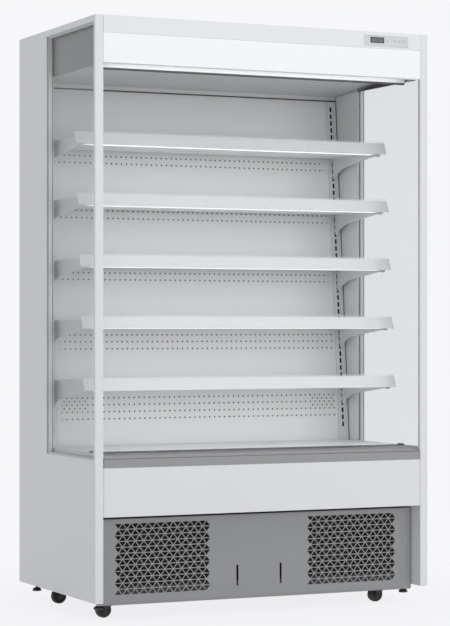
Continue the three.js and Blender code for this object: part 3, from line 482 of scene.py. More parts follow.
def moulded(name, slot, color, roughness, dustAmount=0.0, grain=900.0, bump=0.15, **more):
    return skinned(name, slot, mouldedGrain, {
        "Color": (*color, 1), "Roughness": roughness, "Dust Amount": dustAmount, "Grain": grain,
    }, bump, 0.0002, **more)


whitePaint = paint("whitePaint", "white_paint", (0.79, 0.80, 0.815), 0.38)
shellPaint = paint("shellPaint", "white_shell", (0.78, 0.79, 0.80), 0.45, clouds=0.05)
greyPaint = paint("greyPaint", "grey_paint", (0.335, 0.338, 0.345), 0.42)
innerPaint = paint("innerPaint", "inner_paint", (0.8, 0.805, 0.81), 0.4)
soffitPaint = paint("soffitPaint", "grey_paint", (0.8, 0.805, 0.81), 0.42)
blackPaint = paint("blackPaint", "black_paint", (0.018, 0.019, 0.02), 0.38, clouds=0.2)
bumperGrey = paint("bumperGrey", "stainless", (0.33, 0.332, 0.336), 0.4, clouds=0.06)
grilleLipShadedSteel = metal("grilleLipShadedSteel", "stainless", (0.36, 0.362, 0.366), 0.36, (3.0, 600.0, 600.0))
zincSheet = metal("zincSheet", "zinc", (0.5, 0.505, 0.51), 0.42, (60.0, 60.0, 60.0), contrast=0.2)
finAluminium = metal("finAluminium", "aluminium", (0.72, 0.73, 0.74), 0.35, (40.0, 40.0, 400.0))
copperPipe = metal("copperPipe", "aluminium", (0.72, 0.33, 0.18), 0.3, (200.0, 200.0, 200.0), contrast=0.3)
whitePlastic = moulded("whitePlastic", "white_plastic", (0.81, 0.82, 0.83), 0.35)
railPlastic = moulded("railPlastic", "clear_plastic", (0.9, 0.905, 0.91), 0.22, bump=0.05)
blackPlastic = moulded("blackPlastic", "black_plastic", (0.016, 0.016, 0.017), 0.42, dustAmount=0.3)
blackRubber = moulded("blackRubber", "black_rubber", (0.012, 0.012, 0.012), 0.62, dustAmount=0.25, grain=600.0)
# near-black foam: the dust filters behind the kick vents, and painted shade behind the rack's holes and slots and under
# the grille
filterAndShadeBlack = moulded("filterAndShadeBlack", "black_plastic", (0.006, 0.006, 0.0062), 0.97, grain=700.0, bump=0.8)
displayGlass = moulded("displayGlass", "display", (0.07, 0.073, 0.077), 0.12, bump=0.02)
litAcrylic = moulded("litAcrylic", "light_acrylic", (0.82, 0.83, 0.84), 0.25, bump=0.0,
                     Emission_Color=(0.94, 0.97, 1.0, 1), Emission_Strength=0.14)
lampDiffuser = moulded("lampDiffuser", "light_acrylic", (0.8, 0.82, 0.84), 0.3, bump=0.02,
                       Emission_Color=(0.95, 0.975, 1.0, 1), Emission_Strength=0.75)


# clear float glass that lets lamp light through to what stands behind it
def makeGlass():
    material = moulded("paneGlass", "glass", (0.9, 0.905, 0.905), 0.0, bump=0.0,
                       IOR=1.08, Transmission_Weight=1.0)
    tree = material.node_tree
    through = addNode(tree, "BsdfTransparent", Color=(0.8, 0.81, 0.81, 1))
    ray = tree.nodes.new("ShaderNodeLightPath")
    mixShaders(tree, ray.outputs["Is Shadow Ray"], tree.nodes["Principled BSDF"], through,
               tree.nodes["Material Output"].inputs["Surface"])
    return material


paneGlass = makeGlass()
print("materials made")


# stage

stageSettings = {
    "background": (0.925, 0.93, 0.945),  # as the camera, mirrors and glass see it
    "ambient": 0.57,
    "floorSize": 60,
    "floorColor": 0.8,
    "shadowShare": 0.1,  # how much of the real floor shows beside the object
    "shadowReach": (0.5, 1.6),
    "lamps": {
        "front": {"place": (1.4, -6.2, 1.7), "aim": (0, 0, 1.0), "size": (2.6, 2.6), "power": 95},
        "above": {"place": (-0.6, -1.6, 4.6), "aim": (0, 0, 1.2), "size": (2.4, 2.4), "power": 30},
        "back": {"place": (2.2, 3.6, 3.0), "aim": (0, 0, 1.0), "size": (2.4, 2.4), "power": 40},
    },
    "innerLamps": {
        "canopy": {"place": (0, -0.305, 1.752), "aim": (0, 0.3, 1.60), "size": (1.08, 0.02), "power": 0.2},
        "case": {"place": (0, -0.06, 1.03), "aim": (0, 0.3, 1.03), "size": (1.06, 1.0), "power": 0.6},
    },
    "shelfLamp": {"out": -0.3155, "down": -0.004, "aim": (0.1, -1), "size": (1.05, 0.03), "power": 0.26},
}


def seenDirectly(tree):
    ray = tree.nodes.new("ShaderNodeLightPath")
    seen = mathNode(tree, "MAXIMUM", ray.outputs["Is Camera Ray"], ray.outputs["Is Glossy Ray"])
    return mathNode(tree, "MAXIMUM", seen, ray.outputs["Is Transmission Ray"])


def makeWorld():
    world = bpy.data.worlds.new("studio")
    bpy.context.scene.world = world
    world.use_nodes = True
    tree = world.node_tree
    tree.nodes.clear()
    dim = addNode(tree, "Background", Color=(0.97, 0.985, 1.0, 1), Strength=stageSettings["ambient"])
    plain = addNode(tree, "Background", Color=(*stageSettings["background"], 1), Strength=1.0)
    output = tree.nodes.new("ShaderNodeOutputWorld")
    mixShaders(tree, seenDirectly(tree), dim, plain, output.inputs["Surface"])


# the floor turns into the plain background a little way from the object
def makeFloor():
    clearSelection()
    bpy.ops.mesh.primitive_plane_add(size=stageSettings["floorSize"], location=(0, 0, 0))
    floor = justAdded("floor")
    tone = stageSettings["floorColor"]
    material, tree, shader = newMaterial("studioFloor", Base_Color=(tone, tone, tone, 1), Roughness=0.7,
                                         Specular_IOR_Level=0.2)
    plain = addNode(tree, "Emission", Color=(*stageSettings["background"], 1), Strength=1.0)
    distance = addNode(tree, "VectorMath", operation="LENGTH")
    tree.links.new(addNode(tree, "TexCoord").outputs["Object"], distance.inputs[0])
    low, high = stageSettings["shadowReach"]
    fade = addNode(tree, "MapRange", interpolation_type="SMOOTHSTEP")
    for label, value in (("From Min", low), ("From Max", high), ("To Min", 1 - stageSettings["shadowShare"]),
                         ("To Max", 1.0)):
        fade.inputs[label].default_value = value
    tree.links.new(distance.outputs["Value"], fade.inputs["Value"])
    share = mathNode(tree, "MULTIPLY", seenDirectly(tree), fade.outputs["Result"])
    mixShaders(tree, share, shader, plain, tree.nodes["Material Output"].inputs["Surface"])
    floor.data.materials.append(material)


def addLamp(name, place, aim, size, power):
    clearSelection()
    bpy.ops.object.light_add(type="AREA", location=place)
    lamp = bpy.context.object
    lamp.name = name
    lamp.data.shape = "RECTANGLE"
    lamp.data.size, lamp.data.size_y = size
    lamp.data.energy = power
    lamp.rotation_euler = (Vector(aim) - Vector(place)).to_track_quat("-Z", "Y").to_euler()
    lamp.visible_camera = lamp.visible_transmission = lamp.visible_glossy = False


def makeLamps(lamps):
    for name, lamp in lamps.items():
        addLamp(name + "Lamp", **lamp)


makeWorld()
makeFloor()
makeLamps(stageSettings["lamps"])
print("stage and lamps made")


# side walls: folded white shells, each with a double-glazed window

wallSettings = {
    "bend": 0.0022,
    "window": ((-0.335, 0.510), (0.087, 1.888)),
    "paneFaces": (0.5757, 0.5957),
    "paneSheet": 0.004,
    "paneEdge": 0.0006,
    "bite": 0.0047,
    "spacerGap": 0.00405,
    "spacerGrow": 0.0037,
    "spacerWidth": 0.0085,
    "spacerEdge": 0.0008,
    "paneSeal": {"x": (0.5958, 0.5971), "grow": -0.0001, "width": 0.0013, "edge": 0.0005},
    "paneBead": {"x": (0.5723, 0.5756), "grow": 0.0010, "width": 0.0024, "edge": 0.0007},
}
spacerGrey = paint("spacerGrey", "aluminium", (0.84, 0.845, 0.85), 0.5)
# near-black grey for the strips that paint shade: under the blind bar, on the end plates, above the perforated panel
# and beside the uprights
paintedShadeGrey = moulded("paintedShadeGrey", "black_rubber", (0.075, 0.076, 0.078), 0.6)
# light grey on the black rubber seal and bead of each window: painted light, lifting the shade lines along the window
# edges
paneSealLitGrey = moulded("paneSealLitGrey", "black_rubber", (0.74, 0.744, 0.75), 0.55)


def makeSideWall(side, way):
    given = wallSettings
    (y0, z0), (y1, z1) = given["window"]
    (inner, outer), sheet, gap = given["paneFaces"], given["paneSheet"], given["spacerGap"]

    def span(x0, x1, grow):
        return (way * x0, y0 - grow, z0 - grow), (way * x1, y1 + grow, z1 + grow)

    refined(f"side_panel_{side}", f"sideWall_{side}", whitePaint, given["bend"], segments=3)
    panes = [finished(block(f"pane_{side}_{label}", *span(x, x + sheet, given["bite"])), given["paneEdge"], paneGlass)
             for label, x in (("outer", outer - sheet), ("inner", inner))]
    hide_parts(f"side_glass_{side}")
    spacer = ringFrame(f"paneSpacer_{side}", *span(inner + gap, outer - gap, given["spacerGrow"]), given["spacerWidth"])
    dress(roundEdges(spacer, given["spacerEdge"]), spacerGrey)
    for name in ("paneSeal", "paneBead"):
        strip = given[name]
        bead = ringFrame(f"{name}_{side}", *span(*strip["x"], strip["grow"]), strip["width"])
        finished(bead, strip["edge"], paneSealLitGrey)


onBothSides(makeSideWall)
print("side walls made")


# inner lining, which stops where the window begins

liningSettings = {"edge": 0.0005, "cutX": (0.55, 0.59), "windowRear": 0.0868, "windowZ": (0.5297, 1.7575)}


def makeLining(side, way):
    given = liningSettings
    (x0, x1), (z0, z1) = given["cutX"], given["windowZ"]
    lining = copyOf(f"side_liner_{side}", f"lining_{side}")
    drilled(lining, block("liningCutter", (way * x0, 0, z0), (way * x1, given["windowRear"], z1)))
    finished(lining, given["edge"], liningLitPaint, segments=1, replaced=[f"side_liner_{side}"])


# a lighter copy of the inner white for the side linings: painted light, making up for the shade on the inner walls
liningLitPaint = paint("liningLitPaint", "inner_paint", (0.9, 0.905, 0.91), 0.4)
onBothSides(makeLining)


# canopy: roof, soffit, header strip, lit panel and controller

canopySettings = {
    "roofBend": 0.001,
    "headerBend": 0.0008,
    "acrylicBend": 0.0025,
    "endShadeX": (0.5667, 0.5686),
    "endShadeOutline": [(-0.262, 1.7592), (0.083, 1.7592), (0.083, 1.7600), (-0.186, 1.7905), (-0.194, 1.7810),
              (-0.262, 1.7810)],
}
refined("soffit_panel", "soffit", soffitPaint, 0.0005)
# a lighter copy of the white paint for the header strip: painted light, so the header reads brighter than the other
# white panels
headerLitPaint = paint("headerLitPaint", "white_paint", (0.835, 0.845, 0.86), 0.38)
refined("header_fascia", "header", headerLitPaint, canopySettings["headerBend"], segments=3)
refined("light_panel", "litPanel", litAcrylic, canopySettings["acrylicBend"], segments=3)


# dark grey strips on the inner faces of the end plates, under the soffit: painted shade where the end plates fall dark
def makeEndPlateShade(side, way):
    x0, x1 = canopySettings["endShadeX"]
    outline = [(way * x0, y, z) for y, z in canopySettings["endShadeOutline"]]
    finished(prism(f"blindGuide_{side}", outline, (way * (x1 - x0), 0, 0)), 0.0004, paintedShadeGrey)


onBothSides(makeEndPlateShade)

controllerSettings = {
    "bevel": 0.0008,
    "frontY": -0.35,
    "sink": 0.0003,
    "frameOut": 0.0065,  # half of the little frame round the first key
    "frameWidth": 0.0009,
    "frameY": (-0.34998, -0.3495),
    "markSize": 0.0027,
    "markLift": 0.00025,
    "keyZ": 1.882,
    "keys": [0.447, 0.477, 0.492, 0.508],
    "window": ((0.3865, 1.8755), (0.4290, 1.8890)),
    "windowY": (-0.3496, -0.3492),
    "digits": [0.4020, 0.4140],
    "digitSize": (0.0056, 0.0092, 0.0011),
    "digitY": (-0.34964, -0.3495),
}


# the front face lies a little deeper, which leaves room for the marks on it
def sunk(node, name, material, bevel, body="cabinet"):
    obj = copyOf(node, name)
    sinkFaces(obj, 1, -1, controllerSettings["frontY"] + 0.0004, controllerSettings["sink"])
    leaveEdit()
    return finished(obj, bevel, material, body, replaced=[node])


def makeController():
    given = controllerSettings
    sunk("controller_panel", "controller", controllerPlastic, given["bevel"])
    refined("controller_display", "controllerScreen", displayGlass, 0.0004)
    makeWindow()
    x, z, out = given["keys"][0], given["keyZ"], given["frameOut"]
    y0, y1 = given["frameY"]
    edging = ringFrame("keyFrame", (x - out, y0, z - out), (x + out, y1, z + out), given["frameWidth"], axis=1)
    dress(roundEdges(edging, 0.0001, segments=1), whitePlastic)
    for i, keyX in enumerate(given["keys"], 1):
        sunk(f"key_{i}", f"key_{i}_cap", whitePlastic, 0.0004, f"key_{i}")
        dress(keyMark(f"keyMark_{i}", i, keyX, z), markGrey, body=f"key_{i}")


# grey window of the display with two unlit digits
def makeWindow():
    given = controllerSettings
    (x0, z0), (x1, z1) = given["window"]
    (y0, y1), (digitFront, digitRear) = given["windowY"], given["digitY"]
    finished(block("displayWindow", (x0, y0, z0), (x1, y1, z1)), 0.0001, windowGrey, segments=1)
    wide, tall, thick = given["digitSize"]
    bars = []

    def addBar(xa, za, xb, zb):
        bars.append(block("bar", (xa, digitFront, za), (xb, digitRear, zb)))

    for x in given["digits"]:
        for level in (-1, 0, 1):
            z = (z0 + z1) / 2 + level * tall / 2
            addBar(x - wide / 2 + thick, z - thick / 2, x + wide / 2 - thick, z + thick / 2)
        for hand in (-1, 1):
            for low in (-1, 0):
                edge, z = x + hand * wide / 2, (z0 + z1) / 2 + low * tall / 2
                addBar(edge - thick / 2, z + thick * 0.6, edge + thick / 2, z + tall / 2 - thick * 0.6)
    dress(roundEdges(joined("displayDigits", bars), 0.00002, 1), displayGlass)


# plain signs: lamp, up and down
def keyMark(name, i, x, z):
    size, lift = controllerSettings["markSize"], controllerSettings["markLift"]
    face = controllerSettings["frontY"] + controllerSettings["sink"]
    if i < 3:
        return smooth(ring(name, size * 0.8, size * 0.2, (x, face + 0.0003, z), 24, 8))
    turn = 1 if i == 3 else -1
    tips = [(-1, -0.7), (1, -0.7), (0, 0.9)]
    points = [(x + size * turn * dx, face - lift, z + size * turn * dz) for dx, dz in tips]
    return roundEdges(prism(name, points, (0, lift + 0.0001, 0)), 0.0001, segments=1)


windowGrey = moulded("windowGrey", "display", (0.17, 0.175, 0.18), 0.2, bump=0.02)
controllerPlastic = moulded("controllerPlastic", "white_plastic", (0.68, 0.69, 0.7), 0.38)
markGrey = moulded("markGrey", "black_plastic", (0.1, 0.1, 0.105), 0.5, grain=300.0)
makeController()
print("canopy made")


# night blind: pull bar, cassette, spring roller and the cloth between them

blindSettings = {
    "barLow": (-0.5664, -0.259, 1.754),
    "barHigh": (0.5664, -0.241, 1.778),
    "barRound": 0.0045,
    "grooveRim": 0.004,
    "grooveDepth": 0.005,
    "shadeLipY": (0.0008, 0.0068),  # from the bar's front
    "lipZ": (-0.0055, 0.0015),  # from its underside
    "shadeLipRound": 0.0024,
    "cap": 0.004,
    "capProud": 0.0002,
    "rollerPlace": (-0.2273, 1.812),
    "rollerRadius": 0.0218,
    "rollHalf": 0.5504,
    "tubeRadius": 0.018,
    "tubeHalf": 0.5644,
    "pinInset": 0.013,
    "pinOut": 0.0038,
    "clothY": -0.25,
    "clothTop": 1.812,
    "clothLow": 1.7743,
    "clothHalf": 0.5504,
    "clothThick": 0.0006,
    "drop": 1.205,
    "rows": 120,
    "columns": 24,
}


def makeBlindBar():
    given = blindSettings
    (x0, y0, z0), (x1, y1, z1) = given["barLow"], given["barHigh"]
    cap, proud = given["cap"], given["capProud"]
    bar = block("blindBar", (x0 + cap, y0, z0), (x1 - cap, y1, z1))
    selectParts(bar, "FACE", lambda centre, normal: normal.y > 0.9)
    bpy.ops.mesh.inset(thickness=given["grooveRim"])
    bpy.ops.transform.translate(value=(0, -given["grooveDepth"], 0))
    leaveEdit()
    roundAlong(bar, 0, given["barRound"], 6, lambda a, b: abs(a.z - (z0 + z1) / 2) > (z1 - z0) / 2 - 0.0005)
    dress(smooth(bar), whitePlastic, "blind_bar", replaced=["blind_bar"])
    # a near-black strip under the bar's front: painted shade for the shadow gap below the bar
    (front, rear), (low, high) = given["shadeLipY"], given["lipZ"]
    lip = block("blindBarShadeLip", (x0 + cap, y0 + front, z0 + low), (x1 - cap, y0 + rear, z0 + high))
    roundAlong(lip, 0, given["shadeLipRound"], 4, lambda a, b: a.z < z0 - 0.003)
    dress(smooth(lip), paintedShadeGrey, "blind_bar")
    for label, xa, xb in (("left", x0, x0 + cap - proud), ("right", x1 - cap + proud, x1)):
        end = block(f"blindBarCap_{label}", (xa, y0 - proud, z0 - proud), (xb, y1 + proud, z1))
        finished(roundAlong(end, 0, given["barRound"], 6), 0.0005, capGrey, "blind_bar")


def makeRoller():
    given = blindSettings
    y, z = given["rollerPlace"]
    half, tubeHalf = given["rollHalf"], given["tubeHalf"]
    roll = rod("blindRoll", given["rollerRadius"], (-half, y, z), (half, y, z), 64)
    finished(roll, 0.0008, rollCloth, "blind_roller", replaced=["blind_roller"])
    tube = rod("blindTube", given["tubeRadius"], (-tubeHalf, y, z), (tubeHalf, y, z), 48)
    selectParts(tube, "FACE", lambda centre, normal: abs(normal.x) > 0.9)
    bpy.ops.mesh.inset(thickness=given["pinInset"], use_individual=True)
    bpy.ops.mesh.extrude_region_shrink_fatten(TRANSFORM_OT_shrink_fatten={"value": given["pinOut"]})
    leaveEdit()
    finished(tube, 0.0005, finAluminium, "blind_roller")


# the rows lie close where the cloth is fed out, so that it stays even when it is pulled down
def makeCloth():
    given = blindSettings
    clearSelection()
    length = given["clothTop"] - given["clothLow"]
    bpy.ops.mesh.primitive_grid_add(
        x_subdivisions=given["columns"], y_subdivisions=given["rows"], size=1,
        location=(0, given["clothY"], 0), rotation=(math.pi / 2, 0, 0))
    bpy.context.object.scale = (2 * given["clothHalf"], 1, 1)
    cloth = justAdded("blindCloth")
    for vertex in cloth.data.vertices:
        share = min(max(vertex.co.z + 0.5, 0), 1)  # 0 at the bar, 1 at the roller
        eased = 0.5 - math.sin(math.asin(1 - 2 * share) / 3)
        vertex.co.z = given["clothLow"] + eased * length
    weave = cloth.data.uv_layers.active or cloth.data.uv_layers.new(name="weave")
    weave.name = "weave"
    rows = {round(z, 7): i for i, z in enumerate(sorted({round(v.co.z, 7) for v in cloth.data.vertices}))}
    for loop in cloth.data.loops:
        co = cloth.data.vertices[loop.vertex_index].co
        weave.data[loop.index].uv = (co.x, rows[round(co.z, 7)] / given["rows"] * given["drop"])
    modify(cloth, "SOLIDIFY", thickness=given["clothThick"], offset=0)
    smooth(cloth)
    cloth.data.materials.clear()
    cloth.data.materials.append(wovenCloth)
    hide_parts("blind_sheet")
    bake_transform(cloth)


# plain weave on the cloth's own map, in metres of the pulled-down cloth
def makeWovenCloth():
    material, tree, shader = newMaterial("wovenCloth", Roughness=0.85, Sheen_Weight=0.15)
    place = addNode(tree, "UVMap", uv_map="weave")
    waves = []
    for direction in ("X", "Y"):
        wave = addNode(tree, "TexWave", Scale=260.0, wave_type="BANDS", bands_direction=direction, Distortion=1.5)
        tree.links.new(place.outputs[0], wave.inputs["Vector"])
        waves.append(wave.outputs["Fac"])
    threads = mathNode(tree, "MULTIPLY", *waves)
    mix = addNode(tree, "Mix", data_type="RGBA")
    mix.inputs[6].default_value = (0.42, 0.43, 0.44, 1)
    mix.inputs[7].default_value = (0.66, 0.67, 0.68, 1)
    tree.links.new(threads, mix.inputs["Factor"])
    tree.links.new(mix.outputs[2], shader.inputs["Base Color"])
    relief = addNode(tree, "Bump", Strength=0.3, Distance=0.0003)
    tree.links.new(threads, relief.inputs["Height"])
    tree.links.new(relief.outputs["Normal"], shader.inputs["Normal"])
    return material


capGrey = moulded("capGrey", "white_plastic", (0.5, 0.505, 0.51), 0.45)
rollCloth = moulded("rollCloth", "blind_cloth", (0.58, 0.59, 0.6), 0.8, grain=1400.0, bump=0.3)
wovenCloth = makeWovenCloth()
makeBlindBar()
makeRoller()
makeCloth()
refined("blind_cassette", "blindCassette", greyPaint, 0.0008)
print("night blind made")


# leaning rack: slotted uprights and the perforated back panel

rackSettings = {
    "incline": math.radians(4.91),
    "faceY": 0.1518,
    "levelZ": 0.580,
    "holeRows": [1.512, 1.488, 1.325, 1.300, 1.113, 1.090, 0.902, 0.879, 0.855, 0.689, 0.666, 0.642, 0.618],
    "shortRows": [0.6775, 0.654],  # staggered holes at both ends
    "shortCount": 5,
    "holePitch": 0.0187,
    "holeCount": 56,
    "holeRadius": 0.0029,
    "holeCut": (-0.004, 0.012),
    "slotX": 0.547,
    "slotHalf": 0.0025,
    "slotGrow": 1.5,
    # strips in the rack's own frame: y off the slotted face, z along it
    "holeShade": ((-0.512, 0.0062, -0.060), (0.512, 0.0080, 1.150)),
    "uprightInsideShade": ((0.5330, 0.0026, -0.070), (0.5668, 0.0032, 1.158)),
    "uprightCornerShade": ((0.5672, -0.0011, -0.070), (0.5699, -0.0001, 1.158)),
    "panelShadeLine": ((-0.5684, 0.2478, 1.7372), (0.5684, 0.2512, 1.7414)),
}


def leaned(obj):
    return placed(obj, (0, rackSettings["faceY"], rackSettings["levelZ"]), (-rackSettings["incline"], 0, 0))


def rackFace(z):
    return rackSettings["faceY"] + (z - rackSettings["levelZ"]) * math.tan(rackSettings["incline"])


def holeRow(name, count, firstX, z):
    given = rackSettings
    along = (z - given["levelZ"]) / math.cos(given["incline"])
    near, far = given["holeCut"]
    hole = rod(name, given["holeRadius"], (firstX, near, along), (firstX, far, along), 10)
    return repeated(hole, count, (given["holePitch"], 0, 0))


def makeBackPanel():
    given = rackSettings
    pitch, few = given["holePitch"], given["shortCount"]
    firstX = -pitch * (given["holeCount"] - 1) / 2
    rows = [holeRow("holes", given["holeCount"], firstX, z) for z in given["holeRows"]]
    for z in given["shortRows"]:
        rows += [holeRow("holes", few, x, z) for x in (firstX + pitch / 2, -firstX - pitch * (few - 0.5))]
    panel = drilled(copyOf("back_panel", "backPanel"), leaned(joined("holeCutter", rows)))
    dress(smooth(panel), innerPaint, replaced=["back_panel"])
    # a near-black sheet behind the holes: painted shade, so the holes read dark
    finished(leaned(block("holeShadeSheet", *given["holeShade"])), 0.0005, filterAndShadeBlack)
    # dark strip where the perforated panel meets the soffit: painted shade for the shadow gap between them
    finished(block("panelShadeLine", *given["panelShadeLine"]), 0.0009, paintedShadeGrey)


# painted steel channel; the near-black strip behind the slots is painted shade for its inside seen through them, and
# the dark strip along its outer edge is painted shade in the corner by the lining
def makeUpright(side, way):
    given = rackSettings
    channel = copyOf(f"upright_{side}", f"rackUpright_{side}")
    slotX, reach = way * given["slotX"], given["slotHalf"] + 0.0002
    selectParts(channel, "EDGE", lambda a, b: max(abs(a.x - slotX), abs(b.x - slotX)) < reach)
    bpy.ops.transform.resize(value=(given["slotGrow"], 1, 1), center_override=(slotX, 0, 0))
    leaveEdit()
    finished(channel, 0.0005, uprightPaint, segments=1, replaced=[f"upright_{side}"])
    for name, edge, material in (("uprightInsideShade", 0.0002, filterAndShadeBlack), ("uprightCornerShade", 0.0003, paintedShadeGrey)):
        (x0, y0, z0), (x1, y1, z1) = given[name]
        strip = block(f"{name}_{side}", (way * x0, y0, z0), (way * x1, y1, z1))
        finished(leaned(strip), edge, material, segments=1)


uprightPaint = paint("uprightPaint", "zinc", (0.72, 0.725, 0.735), 0.4)
makeBackPanel()
onBothSides(makeUpright)
print("rack made")


# five shelves, each with a lamp strip under its front and a tilted price rail

shelfSettings = {
    "levels": [1.524, 1.324, 1.124, 0.924, 0.724],
    "reach": 0.355,  # from the slotted face to the foot of the rail
    "trayBend": 0.0006,
    "lampHalf": 0.530,
    "lampY": (-0.3302, -0.2990),  # from the slotted face
    "lampZ": (-0.0014, 0.0048),
    "lampRound": 0.0012,
    "lampEnd": 0.014,
    "endProud": 0.0006,
    "endEdge": 0.0009,
    "plugX": (0.5503, 0.5595),
    "plugProud": 0.0015,
    "plugEdge": 0.0022,
    "shadowLipEdge": 0.0008,
    "shadowLipY": (-0.2988, -0.2962),
    "shadowLipLow": -0.0018,
    "plugLow": -0.0075,
    "plugRear": -0.307,
    "ribs": [-0.24, -0.16, -0.08],
    "ribHalf": (0.5, 0.006),
    "ribZ": (0.0028, 0.0052),
    "ribRound": 0.00176,
}
railSettings = {
    "half": 0.569,
    "lean": 0.017 / 0.038,
    "sheet": 0.0016,
    "faceHeight": 0.038,
    "lipHeight": 0.045,
    "foot": 0.009,
    "heel": 0.0026,
    "back": 0.0218,
    "legLow": 0.010,
    "coverOut": 0.0011,
    "coverSheet": 0.0007,
    "bend": 0.0008,
    "capThick": 0.0016,
    "capProfile": [(-0.0015, -0.0008), (0.0095, -0.0008), (0.0108, 0.0022), (0.0225, 0.009), (0.0228, 0.0386),
                   (0.0195, 0.0393), (0.0150, 0.0380)],
}


def makeLampStrip(level):
    given = shelfSettings
    y, half, reach = rackFace(level), given["lampHalf"], given["lampHalf"] + given["lampEnd"]
    (y0, y1), (z0, z1) = given["lampY"], given["lampZ"]

    def bar(name, x0, x1, front, rear, low):
        return block(name, (x0, y + front, level + low), (x1, y + rear, level + z1))

    lamp = roundAlong(bar("lampStrip", -half, half, y0, y1, z0), 0, given["lampRound"], 4, lambda a, b: a.z < level)
    proud = given["endProud"]
    ends = [bar("lampEnd", way * half, way * reach, y0 - proud, y1 + proud, z0 - 0.0005) for way in (-1, 1)]
    for end in ends:
        roundEdges(end, given["endEdge"], 3)
    plug = bar("lampPlug", *given["plugX"], y0 - given["plugProud"], given["plugRear"], given["plugLow"])
    roundEdges(plug, given["plugEdge"], 3)
    # a dark grey lip behind the lamp strip: painted shade for the shadow line behind the lamp
    shadowLip = bar("lampShadowLip", -reach, reach, *given["shadowLipY"], given["shadowLipLow"])
    roundEdges(shadowLip, given["shadowLipEdge"])
    return smooth(lamp), smooth(joined("lampEnds", ends)), smooth(plug), smooth(shadowLip)


# pressed ribs that stiffen the tray from below
def makeTrayRibs(level):
    given = shelfSettings
    (long, wide), (z0, z1) = given["ribHalf"], given["ribZ"]
    ribs = []
    for out in given["ribs"]:
        y = rackFace(level) + out
        rib = block("rib", (-long, y - wide, level + z0), (long, y + wide, level + z1))
        ribs.append(roundAlong(rib, 0, given["ribRound"], 3, lambda a, b: a.z < level + 0.004))
    return smooth(joined("trayRibs", ribs))


def makeRail(level):
    given = railSettings
    front, lean, sheet = rackFace(level) - shelfSettings["reach"], given["lean"], given["sheet"]
    half, high, lip, back = given["half"], given["faceHeight"], given["lipHeight"], given["back"]

    def along(name, points, x, push):
        return prism(name, [(x, front + y, level + z) for y, z in points], (push, 0, 0))

    body = [(0, 0), (given["foot"], 0), (given["foot"], sheet), (given["heel"], sheet),
            (high * lean + sheet * (1 - lean), high - sheet), (back - sheet, high - sheet),
            (back - sheet, given["legLow"]), (back, given["legLow"]), (back, high), (high * lean, high)]
    rail = roundAlong(along("railBody", body, -half, 2 * half), 0, given["bend"] / 2, 2)
    out, inner = given["coverOut"], given["coverOut"] - given["coverSheet"]
    cover = [(out, 0.0008), (out, lip - 0.0004), (-sheet, lip - 0.0001), (-sheet, high + 0.0003),
             (inner, high + 0.0003), (inner, 0.0008)]
    clear = along("railCover", [(z * lean - y, z) for y, z in cover], -half, 2 * half)
    roundAlong(clear, 0, 0.0002, 1)
    caps = [roundEdges(along("railCap", given["capProfile"], way * (half + 0.0002), -way * given["capThick"]), 0.0003)
            for way in (-1, 1)]
    return smooth(rail), smooth(clear), smooth(joined("railCaps", caps))


# every piece is made at the top level and copied down the leaning rack
def makeShelves():
    levels = shelfSettings["levels"]
    pieces = [*makeLampStrip(levels[0]), makeTrayRibs(levels[0]), *makeRail(levels[0])]
    finishes = [lampDiffuser, whitePlastic, whitePlastic, shadowLipGrey, innerPaint, railPlastic, railCover, railPlastic]
    names = [piece.name for piece in pieces]
    for i, level in reversed(list(enumerate(levels, 1))):
        body = f"shelf_{i}"
        shift = (0, rackFace(level) - rackFace(levels[0]), level - levels[0])
        for piece, name, material in zip(pieces, names, finishes):
            own = piece if i == 1 else copied(piece, name, shift)
            own.name = f"{name}_{i}"
            dress(own, material, body, replaced=[f"price_rail_{i}"] if name == "railBody" else ())
        refined(f"shelf_{i}", f"shelfTray_{i}", innerPaint, shelfSettings["trayBend"], body)


# dark grey copy of the inner paint for the lip behind each lamp: painted shade
shadowLipGrey = paint("shadowLipGrey", "inner_paint", (0.3, 0.3, 0.305), 0.5)
railCover = moulded("railCover", "clear_plastic", (0.86, 0.87, 0.88), 0.14, bump=0.02, Alpha=0.16)
makeShelves()
makeLamps(stageSettings["innerLamps"])
for i, level in enumerate(shelfSettings["levels"], 1):
    lamp = stageSettings["shelfLamp"]
    place = Vector((0, rackFace(level) + lamp["out"], level + lamp["down"]))
    addLamp(f"shelfLamp_{i}", place, place + Vector((0, *lamp["aim"])), lamp["size"], lamp["power"])
print("shelves made")


# deck and the return grille with its fine slots

grilleSettings = {
    "half": 0.5682,
    "path": [(-0.218, 0.5003), (-0.218, 0.5295), (-0.326, 0.5295), (-0.336, 0.5240), (-0.342, 0.5153),
             (-0.342, 0.5123)],
    "sheet": 0.0015,
    "bend": 0.0012,
    "slotPitch": 0.0066,
    "slotWidth": 0.0046,
    "slotY": (-0.3245, -0.2225),
    "slotHalf": 0.548,
    "slotCutZ": (0.52, 0.54),
    "lipCut": ((-0.3262, 0.49), (-0.2, 0.54)),
    "topCut": ((-0.36, 0.49), (-0.3264, 0.54)),
    "guardHalf": 0.558,
    "guardEdge": 0.0003,
    "clipRound": 0.0015,
    "guard": ((-0.333, 0.5065), (-0.2205, 0.5080)),
    "shadeScreen": ((-0.2214, 0.5075), (-0.2205, 0.5275)),
    "clip": ((0.5560, -0.2480, 0.5294), (0.5680, -0.2225, 0.5334)),
}


